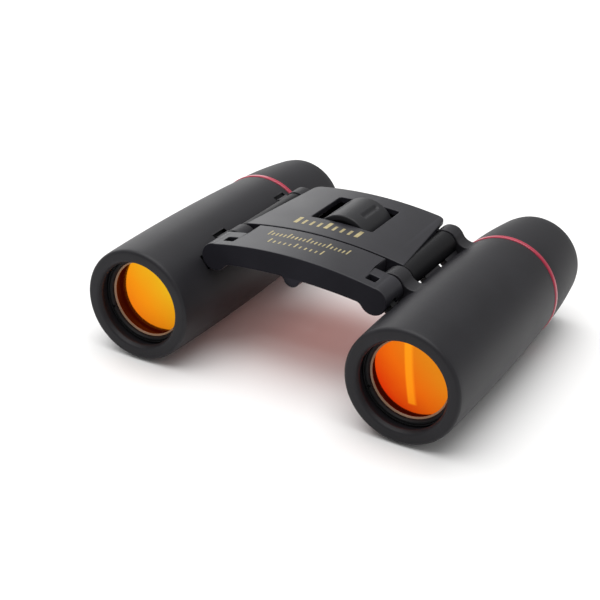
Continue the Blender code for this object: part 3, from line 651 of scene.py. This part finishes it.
def finish_edges(obj, width, holes=()):
    """Rounds the sharp edges, cuts the hidden holes and lets the large faces rule the shading."""
    add_modifier(
        obj, "BEVEL", width=width * MM, segments=3, limit_method="ANGLE",
        angle_limit=math.radians(35), use_clamp_overlap=False, miter_outer="MITER_ARC")
    bake(obj)
    cut(obj, *holes)
    shade(obj, 50)
    add_modifier(obj, "WEIGHTED_NORMAL", keep_sharp=True, weight=50, mode="FACE_AREA")
    bake(obj)


ALIGNED = 0.998
ON_ARCH = 0.03


def smooth_arch(obj):
    """Gives the arched top its exact normals, so that its narrow strips don't show."""
    mesh = obj.data
    normals = [corner.vector.copy() for corner in mesh.corner_normals]
    for polygon in mesh.polygons:
        for index in polygon.loop_indices:
            point = mesh.vertices[mesh.loops[index].vertex_index].co / MM
            lean = point.x / ARCH_RADIUS
            exact = Vector((lean, 0, math.sqrt(1 - lean**2)))
            drop = ARCH_TOP - ARCH_RADIUS * (1 - exact.z) - point.z
            if polygon.normal.dot(exact) > ALIGNED and abs(drop) < ON_ARCH:
                normals[index] = exact
    mesh.normals_split_custom_set(normals)


def dress(obj, body, slot, material=None, nodes=()):
    """Gives a piece the material named, or else that of its slot, puts it in its body and hides the CAD nodes it
    stands for.
    """
    obj.data.materials.clear()
    obj.data.materials.append(materials[material or slot])
    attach(obj, body)
    if nodes:
        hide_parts(*nodes)


# ---------------------------------------------------------------- barrels

def from_hinge(side, along, aside):
    """The (x, z) point at distances along and above the line from hinge to barrel axis."""
    run = (BARREL_X - HINGE_X) / HINGE_REACH
    fall = (HINGE_Z - BARREL_Z) / HINGE_REACH
    x = HINGE_X + along * run + aside * fall
    return side * x, HINGE_Z - along * fall + aside * run


def hinge_box(side, along, aside):
    """The corners of a rectangle laid out from the hinge."""
    corners = ((along[0], aside[0]), (along[0], aside[1]), (along[1], aside[1]), (along[1], aside[0]))
    return [from_hinge(side, *corner) for corner in corners]


def barrel_wall(depth):
    return BARREL_RADIUS - (depth - CROWN_DEPTH) ** 2 / (2 * CROWN_RADIUS)


def barrel_profile():
    """The crowned wall, the rounded rim, the mouth and the stepped bore."""
    crown = [(barrel_wall(d), d, 0) for d in [BARREL_END - 3 - 2.6 * i for i in range(25)]]
    corners = [
        (14.6, 69.6, 0.1),
        (14.6, BARREL_END, 0),
        (barrel_wall(BARREL_END), BARREL_END, 0.3),
        *crown,
        (barrel_wall(0) - 0.05, 0.0, 1.15),
        (13.05, 0.0, 0.9),
        (12.4, 1.2, 0.5),
        (12.4, 1.7, 0.12),
        (13.3, 2.0, 0.1),
        (13.3, 22.0, 0),
        (14.8, 23.5, 0),
        (14.8, 64.0, 0),
        (11.8, 64.0, 0),
        (11.8, 69.6, 0),
    ]
    return rounded(corners)


def fillet_centre(radius, fillet):
    """Where a fillet between the knuckle and the barrel wall has its centre, and at what angle."""
    near = KNUCKLE_RADIUS + fillet
    far = radius + fillet
    cosine = (near**2 + HINGE_REACH**2 - far**2) / (2 * near * HINGE_REACH)
    angle = math.acos(cosine)
    return near * math.cos(angle), near * math.sin(angle), math.degrees(angle)


def lug_outline(side, radius, root):
    """The knuckle, a fillet on either side of it and the root inside the barrel wall."""
    upper_x, upper_z, upper_angle = fillet_centre(radius, LUG_UPPER_FILLET)
    lower_x, lower_z, lower_angle = fillet_centre(radius, LUG_LOWER_FILLET)
    upper_foot = math.degrees(math.atan2(-upper_z, HINGE_REACH - upper_x))
    lower_foot = math.degrees(math.atan2(lower_z, HINGE_REACH - lower_x))
    points = arc((0, 0), KNUCKLE_RADIUS, upper_angle, 360 - lower_angle, 40)
    points += arc((lower_x, -lower_z), LUG_LOWER_FILLET, 180 - lower_angle, lower_foot, 10)[1:]
    points += arc((HINGE_REACH, 0), root, 180 + lower_foot, 180 + upper_foot, 14)
    points += arc((upper_x, upper_z), LUG_UPPER_FILLET, upper_foot, upper_angle - 180, 14)[:-1]
    return [from_hinge(side, along, aside) for along, aside in points]


def make_lug(name, side, span):
    """A lug whose foot flares into the barrel wall: remeshed, then smoothed into a fillet."""
    wall = barrel_wall(sum(span) / 2)
    sunk, patch_depth = 0.05, 2.2
    lug = section(name, lug_outline(side, wall, wall - 1.2), span)
    low, high = wider(span, LUG_FLARE)
    depths = [low + (high - low) * index / 8 for index in range(9)]
    profile = [(barrel_wall(depth) - sunk, depth) for depth in reversed(depths)]
    profile += [(wall - patch_depth, low), (wall - patch_depth, high)]
    patch = lathe(name + "_patch", profile, side * BARREL_X, BARREL_Z, 200)
    keep = hinge_box(side, (-6, 9.5), (-8.5, 8.5))
    combine(patch, [section(name + "_keep", keep, wider((low, high), 1))], "INTERSECT")
    join(lug, patch)
    cut(lug, rod(name + "_bore", PIN_BORE, wider(span, 1), side * HINGE_X, HINGE_Z))
    add_modifier(lug, "REMESH", mode="VOXEL", voxel_size=0.2 * MM)
    add_modifier(lug, "SMOOTH", factor=0.5, iterations=7)
    bake(lug)
    lug.data.shade_smooth()
    return lug


def make_barrel(prefix, side):
    body = prefix + "_barrel"
    tube = lathe(prefix + "_barrel_tube", barrel_profile(), side * BARREL_X, BARREL_Z, 160)
    along = [HINGE_REACH - wall for wall in ARM_SLOT_WALL]
    slot = hinge_box(side, along, (-ARM_SLOT_HALF, ARM_SLOT_HALF))
    cut(tube, section(prefix + "_slot", slot, ARM_SLOT))
    recess = hinge_box(side, RECESS_ALONG, RECESS_ASIDE)
    for label, span in (("mid", MID_LUG), ("rear", REAR_LUG)):
        lug = make_lug(f"{prefix}_{label}_lug", side, span)
        if prefix == "right":
            room = wider(span, RECESS_OVERRUN)
            cut(lug, section(label + "_lug_recess", recess, room))
            cut(tube, section(label + "_tube_recess", recess, room))
            shade(lug, 50)
        dress(lug, body, "barrel_soft_touch", nodes=[prefix + "_barrel"])
    shade(tube)
    dress(tube, body, "barrel_soft_touch", nodes=[prefix + "_barrel"])
    make_cradles(prefix, side)
    trim = rounded([(16.3, 69.8, 0.4), (16.3, 68.2, 0.4), (14.9, 68.2, 0), (14.9, 69.8, 0)])
    ring = lathe(prefix + "_trim", trim, side * BARREL_X, BARREL_Z)
    ring.data.shade_smooth()
    dress(ring, body, "red_trim", nodes=[prefix + "_trim_ring"])


def make_cradles(prefix, side):
    """Low ribs on the barrel whose hollow faces follow the hinge tube."""
    face = arc((0, 0), CRADLE_RADIUS, -CRADLE_HALF_ANGLE, CRADLE_HALF_ANGLE, 12)
    face += [(CRADLE_ROOT, face[-1][1]), (CRADLE_ROOT, face[0][1])]
    outline = [from_hinge(side, along, aside) for along, aside in face]
    for index, span in enumerate(CRADLES):
        cradle = section(f"{prefix}_cradle_{index}", outline, span)
        finish_edges(cradle, 0.15)
        dress(cradle, prefix + "_barrel", "barrel_soft_touch", nodes=[prefix + "_barrel"])


# ---------------------------------------------------------------- objectives

def make_front_lens(prefix, x):
    """The mirror-coated lens with a curved front and a flat back."""
    steps = 24
    parts = [index / steps for index in range(steps + 1)]
    front = [(LENS_RADIUS * part, LENS_FRONT + LENS_SAG * part**2) for part in parts]
    back = [(0, LENS_BACK), (LENS_RADIUS, LENS_BACK)]
    lens = lathe(prefix + "_front_lens", back + front[::-1], x, BARREL_Z, 128)
    shade(lens, 30)
    body = prefix + "_objective"
    dress(lens, body, "amber_coated_glass", prefix + "_amber", [body + "_crown_lens"])


def make_focus_arm(prefix, side):
    """The arm that reaches from the cell to the link pin on the hinge line."""
    body = prefix + "_objective"
    root_angle = math.degrees(math.asin(ARM_HALF / ARM_KNUCKLE))
    root = HINGE_REACH - 12.45
    outline = arc((0, 0), ARM_KNUCKLE, root_angle, 360 - root_angle, 36)
    outline += [(root, -ARM_HALF), (root, ARM_HALF)]
    outline = [from_hinge(side, along, aside) for along, aside in outline]
    arm = section(prefix + "_arm", outline, ARM_SPAN)
    cut(arm, rod(prefix + "_arm_bore", LINK_BORE, (16, 22), side * HINGE_X, HINGE_Z))
    finish_edges(arm, 0.25)
    dress(arm, body, "inner_plastic", nodes=[body + "_cell"])


def make_objective(prefix, side):
    body = prefix + "_objective"
    x = side * BARREL_X
    make_front_lens(prefix, x)
    bevel = rounded([
        (11.28, 5.45, 0.05), (10.86, 5.8, 0.08), (10.86, 6.6, 0), (12.2, 6.6, 0), (12.2, 6.2, 0),
    ])
    edge = lathe(prefix + "_lens_edge", bevel, x, BARREL_Z)
    shade(edge, 30)
    dress(edge, body, "amber_coated_glass", "lens_bevel", [body + "_crown_lens"])
    ring = rounded([
        (12.35, 5.7, 0), (12.35, 4.4, 0.1), (11.75, 4.4, 0.15), (11.35, 4.95, 0.1), (11.3, 5.7, 0),
    ])
    ring = lathe(prefix + "_retaining_ring", ring, x, BARREL_Z)
    for degrees in (25, 205):
        angle = math.radians(degrees)
        place = (x + NOTCH_REACH * math.cos(angle), BARREL_Z + NOTCH_REACH * math.sin(angle))
        cut(ring, rod(f"{prefix}_notch_{degrees}", 0.45, (3.5, 5.0), *place, 24))
    shade(ring, 30)
    dress(ring, body, "inner_plastic", nodes=[body + "_ring"])
    cell = rounded([
        (13.0, 21.0, 0.1), (13.0, 4.4, 0.15), (12.5, 4.4, 0.1), (12.5, 11.7, 0), (11.4, 11.7, 0),
        (11.4, 12.7, 0), (11.9, 13.2, 0), (11.9, 21.0, 0.1),
    ])
    cell = lathe(prefix + "_cell", cell, x, BARREL_Z)
    shade(cell, 30)
    dress(cell, body, "inner_plastic", nodes=[body + "_cell"])
    make_focus_arm(prefix, side)


# ---------------------------------------------------------------- eyepieces

def eyecup_wall(depth):
    """The outer radius of the eyecup, which draws in towards the eye."""
    run = max(0.0, (depth - 69.9) / 25.1)
    return 16.1 - 2.3 * run**1.6


def make_eyepiece(prefix, side):
    x = side * BARREL_X
    ring_body = "right_dioptre_ring" if prefix == "right" else "left_barrel"
    ocular_body = "right_ocular" if prefix == "right" else "left_barrel"
    wall = [(eyecup_wall(d), d, 0) for d in [92.0 - 2.1 * i for i in range(10)]]
    corners = [
        (eyecup_wall(95) - 0.25, 95.0, 1.6),
        *wall,
        (eyecup_wall(69.9), 69.9, 0.35),
        (11.9, 69.9, 0),
        (11.9, 88.1, 0),
        (7.2, 88.1, 0),
        (7.2, 88.9, 0.25),
        (9.9, 92.6, 1.5),
        (11.1, 95.0, 0.7),
    ]
    cup = lathe(prefix + "_cup", rounded(corners), x, BARREL_Z)
    shade(cup)
    dress(cup, ring_body, "eyecup_rubber", nodes=[prefix + "_eyecup"])
    cell = rounded([
        (10.1, 86.8, 0.2), (10.1, 64.0, 0.1), (8.0, 64.0, 0), (8.0, 66.0, 0), (8.7, 66.0, 0),
        (8.7, 86.8, 0.1),
    ])
    cell = lathe(prefix + "_ocular_tube", cell, x, BARREL_Z, 96)
    shade(cell)
    dress(cell, ocular_body, "black_anodised", nodes=[prefix + "_ocular_cell"])
    ring = rounded([
        (8.5, 86.6, 0.15), (8.5, 84.9, 0), (6.8, 84.9, 0.1), (6.9, 85.8, 0.1), (7.4, 86.6, 0.15),
    ])
    ring = lathe(prefix + "_eye_ring", ring, x, BARREL_Z, 96)
    shade(ring)
    dress(ring, ocular_body, "inner_plastic", nodes=[prefix + "_ocular_ring"])
    parts = [index / 16 for index in range(17)]
    front = [(8.5 * part, 79.6 + 1.4 * part**2) for part in parts]
    rear = [(8.5 * part, 84.4 - 2.0 * part**2) for part in parts]
    lens = lathe(prefix + "_eye_glass", rear + front[::-1], x, BARREL_Z, 96)
    shade(lens, 30)
    dress(lens, ocular_body, "clear_glass", nodes=[prefix + "_eye_lens"])


# ---------------------------------------------------------------- bridge

def arch(top, radius, half_width, steps):
    across = [half_width * (2 * index / steps - 1) for index in range(steps + 1)]
    return [(x, top - radius + math.sqrt(radius**2 - x**2)) for x in across]


def mirrored(points):
    return [(-x, z) for x, z in reversed(points)]


def upright(name, radius, heights, x, depth):
    """A round rod that stands on end."""
    outline = [(x + a, depth + b) for a, b in arc((0, 0), radius, 0, 360, 48)[:-1]]
    return plan(name, outline, heights)


def screw_places():
    """The (x, depth) of each screw of the bottom cover."""
    return [(side * SCREW_X, depth) for side in SIDES.values() for depth in SCREW_DEPTHS.values()]


def ear_undercut(side):
    """Room for the rear lug under the thin ear of the plate, whose underside follows the arch."""
    span = (WALL_HALF, EAR_HALF + 1.5)
    ear = [(x, ARCH_TOP - EAR_THICKNESS - x**2 / (2 * ARCH_RADIUS)) for x in span]
    ear += [(span[1], 26), (span[0], 26)]
    return section("ear_undercut", [(side * x, z) for x, z in ear], (EAR_START, 68))


def make_bridge():
    half = PLATE_FRONT_HALF
    outline = arch(ARCH_TOP, ARCH_RADIUS, half, 40)
    outline += [(half, BRIDGE_BOTTOM), (-half, BRIDGE_BOTTOM)]
    bridge = section("bridge_shell", outline, (31.8, 67.1))
    corner = (EAR_HALF - EAR_CORNER, BRIDGE_REAR - EAR_CORNER)
    edge = [(half, BRIDGE_FRONT)] + arc(corner, EAR_CORNER, 0, 90, 12)
    combine(bridge, [plan("bridge_cut", edge + mirrored(edge), CLEAR)], "INTERSECT")
    for side in SIDES.values():
        cut(bridge, ear_undercut(side))
    cavity = arch(ARCH_TOP - SHELL, ARCH_RADIUS, CAVITY_HALF, 24)
    cavity += [(CAVITY_HALF, 26), (-CAVITY_HALF, 26)]
    cut(bridge, section("cavity", cavity, CAVITY))
    join(bridge, rod("boss_front", 3.2, (32.0, 34.2), 0, FOCUS_Z))
    join(bridge, rod("boss_rear", 3.2, (64.7, 66.8), 0, FOCUS_Z))
    slot = rounded([(x, depth, 0.6) for x, depth in (
        (SLOT_HALF, SLOT[0]), (SLOT_HALF, SLOT[1]), (-SLOT_HALF, SLOT[1]), (-SLOT_HALF, SLOT[0]))])
    cut(bridge, plan("slot", slot, (26, 40)))
    cut(bridge, rod("screw_bore", FOCUS_BORE, (31, 66.1), 0, FOCUS_Z))
    for place in screw_places():
        join(bridge, upright("boss", 1.9, (29.6, 35.0), *place))
        cut(bridge, upright("pilot", 0.85, (27, 33.8), *place))
    pin_rooms = [
        rod("pin_room", TUBE_RADIUS - 0.4, (31, TUBE_END), side * HINGE_X, HINGE_Z)
        for side in SIDES.values()
    ]
    finish_edges(bridge, 0.25, holes=pin_rooms)
    smooth_arch(bridge)
    dress(bridge, "bridge", "bridge_plastic", nodes=["bridge_frame"])


def make_hinge_tube(prefix, side):
    tube = rod(prefix + "_tube", TUBE_RADIUS, (31.95, TUBE_END), side * HINGE_X, HINGE_Z, 96)
    cut(tube, rod("tube_bore", PIN_BORE, (31, 61), side * HINGE_X, HINGE_Z))
    finish_edges(tube, 0.3)
    # The darker plastic of the tube is painted shade.
    dress(tube, "bridge", "bridge_plastic", "shaded_tube_plastic", ["bridge_frame"])


def make_cover():
    """The bottom cover with a channel round the focus screw, a wheel window and sunk screws."""
    low, high = COVER_FACES
    front, rear = COVER_ENDS
    outline = rounded([(x, depth, COVER_CORNER) for x, depth in (
        (COVER_HALF, front), (COVER_HALF, rear), (-COVER_HALF, rear), (-COVER_HALF, front))])
    cover = plan("cover_plate", outline, COVER_FACES)
    join(cover, rod("channel", 3.6, (34.7, 64.2), 0, FOCUS_Z))
    cut(cover, block("above", (-SLOT_HALF, SLOT_HALF), (33, 66), (high, 40)))
    cut(cover, rod("hollow", 2.9, (33, 66), 0, FOCUS_Z))
    cut(cover, block("window", (-SLOT_HALF, SLOT_HALF), SLOT, (20, 40)))
    for place in screw_places():
        cut(cover, upright("hole", 0.85, (27, 30), *place))
        cut(cover, upright("pocket", 1.85, (27, low + 0.8), *place))
    finish_edges(cover, 0.15)
    dress(cover, "bridge", "bridge_plastic", nodes=["bridge_bottom_cover"])


def make_cover_screw(label, x, depth):
    """A pan-head screw with a cross recess, head down."""
    shape = rounded([(0, 33.5, 0), (0.4, 33.5, 0), (0.75, 33.0, 0), (0.75, 28.8, 0),
                     (1.6, 28.8, 0.1), (1.6, 28.1, 0.25), (0, 28.1, 0)], closed=False)
    screw = lathe(label + "_screw", shape, 0, 0, 40)
    place = Matrix.Translation((x * MM, world_y(depth), 0))
    stand = Matrix.Rotation(math.pi / 2, 4, "X") @ Matrix.Translation((0, -FRONT_Y, 0))
    screw.data.transform(place @ stand)
    for half_x, half_y in ((0.9, 0.16), (0.16, 0.9)):
        outline = [(x - half_x, depth - half_y), (x + half_x, depth - half_y),
                   (x + half_x, depth + half_y), (x - half_x, depth + half_y)]
        cut(screw, plan("recess", outline, (27, 28.5)))
    shade(screw, 30)
    dress(screw, "bridge", "steel", nodes=[label + "_cover_screw"])


def front_bridge_outline():
    """The arched top, the two knuckles, the arched underside and the rib under the middle."""
    points = arch(ARCH_TOP, ARCH_RADIUS, HINGE_X, 40)
    centre_z = BAR_UNDERSIDE - UNDERSIDE_HALF**2 / (2 * UNDERSIDE_RADIUS) - KNUCKLE_FILLET
    reach = KNUCKLE_RADIUS + KNUCKLE_FILLET
    drop = HINGE_Z - centre_z
    centre_x = HINGE_X - math.sqrt(reach**2 - drop**2)
    turn = math.degrees(math.asin(drop / reach))
    right = arc((HINGE_X, HINGE_Z), KNUCKLE_RADIUS, 90, turn - 180, 36)[1:]
    right += arc((centre_x, centre_z), KNUCKLE_FILLET, turn, 90, 10)[1:]
    rib_reach = RIB_RADIUS + RIB_FILLET
    rib_turn = math.degrees(math.asin(RIB_FILLET / rib_reach))
    rib_x = math.sqrt(rib_reach**2 - RIB_FILLET**2)
    for index in range(1, 10):
        x = centre_x + (rib_x - centre_x) * index / 10
        right.append((x, BAR_UNDERSIDE - x**2 / (2 * UNDERSIDE_RADIUS)))
    right += arc((rib_x, BAR_UNDERSIDE - RIB_FILLET), RIB_FILLET, 90, 180 - rib_turn, 8)[:-1]
    right += arc((0, BAR_UNDERSIDE), RIB_RADIUS, -rib_turn, -90, 12)
    return points + right + mirrored(right)[1:]


def make_front_bridge():
    """The sliding bar, open below at each fork for the focus arm and behind it for the mid lug."""
    bar = section("front_bridge_bar", front_bridge_outline(), BAR)
    join(bar, rod("boss", 3.3, (21.5, 31.1), 0, FOCUS_Z))
    cut(bar, rod("pocket", 2.35, (24.3, 32), 0, FOCUS_Z))
    cut(bar, rod("tunnel", 1.7, (22.3, 25), 0, FOCUS_Z))
    for side in SIDES.values():
        channel = arc((HINGE_X, HINGE_Z), FORK_CAP, 0, 180, 24)
        channel += [(FORK_INNER, HINGE_Z), (FORK_INNER, 20), (30, 20), (30, HINGE_Z)]
        cut(bar, section("arm_channel", [(side * x, z) for x, z in channel], FORK_GAP))
        window = sorted(side * x for x in FORK_WINDOW)
        cut(bar, block("window", window, FORK_GAP, (HINGE_Z, 45)))
        notch = sorted((side * FORK_INNER, side * 30))
        cut(bar, block("notch", notch, (LUG_NOTCH, 33), CLEAR))
        cut(bar, rod("link_bore", LINK_BORE, (15.4, 26), side * HINGE_X, HINGE_Z))
    finish_edges(bar, 0.25)
    smooth_arch(bar)
    dress(bar, "front_bridge", "bridge_plastic", nodes=["front_bridge"])


def make_pin(node, body, slot, radius, x, z, bore=0.0):
    """A pin, screw or ring on an axis along Y, with broken edges."""
    front, rear = node_depths(node)
    corners = [(bore, rear, 0), (radius, rear, 0.2), (radius, front, 0.2), (bore, front, 0)]
    piece = lathe(node + "_turned", rounded(corners, closed=bore > 0), x, z, 64)
    shade(piece, 50)
    dress(piece, body, slot, nodes=[node])


# ---------------------------------------------------------------- focus wheel

WHEEL = (43.3, 59.5)
WHEEL_RADIUS = 9.0
WHEEL_LIP = 7.4
WHEEL_FACE = 7.0
WHEEL_DISH = 1.0
GROOVES = 6
GROOVE_PHASE = 4.0
GROOVE_HALF = 0.07
GROOVE_DEPTH = 0.55
GROOVE_SPAN = (47.4, 57.6)
GROOVE_FADE = 1.4


def eased(distance):
    """Rises smoothly from 0 to 1 over the length in which a groove fades out."""
    part = min(1.0, max(0.0, distance / GROOVE_FADE))
    return part * part * (3 - 2 * part)


def groove(angle, depth, radius):
    """Pulls the drum in along soft finger grooves that fade out before the rims."""
    step = 2 * math.pi / GROOVES
    offset = (angle - math.radians(GROOVE_PHASE) + step / 2) % step - step / 2
    if radius < WHEEL_RADIUS - 1 or abs(offset) > 2 * GROOVE_HALF:
        return radius
    across = math.cos(offset / GROOVE_HALF * math.pi / 4) ** 2
    along = eased(min(depth - GROOVE_SPAN[0], GROOVE_SPAN[1] - depth))
    return radius - GROOVE_DEPTH * across * along


def make_focus_wheel():
    front, rear = WHEEL
    depths = [rear - 0.9 - (rear - front - 1.8) * index / 48 for index in range(49)]
    corners = [
        (FOCUS_BORE, rear - WHEEL_DISH, 0),
        (WHEEL_FACE, rear - WHEEL_DISH, 0.3),
        (WHEEL_LIP, rear, 0.3),
        (WHEEL_RADIUS, rear, 0.8),
        *[(WHEEL_RADIUS, depth, 0) for depth in depths],
        (WHEEL_RADIUS, front, 0.8),
        (WHEEL_LIP, front, 0.3),
        (WHEEL_FACE, front + WHEEL_DISH, 0.3),
        (FOCUS_BORE, front + WHEEL_DISH, 0),
    ]
    wheel = lathe("focus_drum", rounded(corners), 0, FOCUS_Z, 288, groove)
    shade(wheel, 50)
    dress(wheel, "focus_wheel", "wheel_rubber", nodes=["focus_wheel"])


# ---------------------------------------------------------------- printed scale

PRINT_TOP = 0.03
PRINT_BOTTOM = -0.04
PRINT_STEPS = 4
# Name, body, count, first x, pitch, front edge, how often a mark is long, and the width and
# length of the long and of the short marks
SCALE_ROWS = (
    ("focus_bar", "bridge", 9, -11.6, 2.4, 36.4, 4, (1.2, 4.4), (0.8, 3.0)),
    ("long_tick", "front_bridge", 21, -13.8, 1.22, 25.2, 5, (0.44, 3.0), (0.44, 1.8)),
    ("short_tick", "front_bridge", 11, -11.0, 1.62, 20.4, 5, (0.44, 2.6), (0.44, 1.5)),
)


def printed(name, x_span, depth_span, body):
    """A thin gold patch that follows the arch of the bridge."""
    shape = bmesh.new()
    grid = []
    for index in range(PRINT_STEPS + 1):
        x = x_span[0] + (x_span[1] - x_span[0]) * index / PRINT_STEPS
        z = ARCH_TOP - ARCH_RADIUS + math.sqrt(ARCH_RADIUS**2 - x**2)
        corners = [(depth_span[0], PRINT_TOP), (depth_span[1], PRINT_TOP),
                   (depth_span[1], PRINT_BOTTOM), (depth_span[0], PRINT_BOTTOM)]
        grid.append([shape.verts.new(section_place(x, z + lift, d)) for d, lift in corners])
    for here, there in zip(grid, grid[1:]):
        for index in range(4):
            after = (index + 1) % 4
            shape.faces.new((here[index], here[after], there[after], there[index]))
    shape.faces.new(grid[0])
    shape.faces.new(grid[-1])
    patch = close_mesh(shape, name)
    dress(patch, body, "brass_nut", "gold_print")


def make_scales():
    """A generic focus scale: bars in front of the wheel and two rows of ticks before them."""
    for name, body, count, first, pitch, edge, every, long_mark, short_mark in SCALE_ROWS:
        for index in range(count):
            width, length = short_mark if index % every else long_mark
            x = first + index * pitch
            x_span = (x - width / 2, x + width / 2)
            printed(f"{name}_{index}", x_span, (edge, edge + length), body)


# ---------------------------------------------------------------- build

def dress_cad_nodes():
    """The sealed inner pieces stay as the CAD solids, with their finished materials."""
    slots = {row["node"]: row["material_slot"] for row in frame["record"]["subparts"]}
    for name, obj in frame["nodes"].items():
        if obj.hide_render:
            continue
        shade(obj, 30)
        obj.data.materials.clear()
        obj.data.materials.append(materials[slots[name]])


materials = make_materials()
make_camera()
make_stage()
for prefix, side in SIDES.items():
    make_barrel(prefix, side)
    make_objective(prefix, side)
    make_eyepiece(prefix, side)
    make_pin(prefix + "_hinge_pin", "bridge", "steel", 1.25, side * HINGE_X, HINGE_Z)
    make_pin(prefix + "_link_pin", "front_bridge", "steel", 1.1, side * HINGE_X, HINGE_Z)
make_bridge()
for prefix, side in SIDES.items():
    make_hinge_tube(prefix, side)
make_cover()
for prefix, side in SIDES.items():
    for label, depth in SCREW_DEPTHS.items():
        make_cover_screw(f"{prefix}_{label}", side * SCREW_X, depth)
make_front_bridge()
make_focus_wheel()
make_pin("focus_screw", "focus_wheel", "steel", 1.5, 0, FOCUS_Z)
make_pin("focus_screw_clip", "focus_wheel", "steel", 2.7, 0, FOCUS_Z, FOCUS_BORE)
make_pin("focus_nut", "front_bridge", "brass_nut", 2.25, 0, FOCUS_Z, FOCUS_BORE)
make_scales()
dress_cad_nodes()
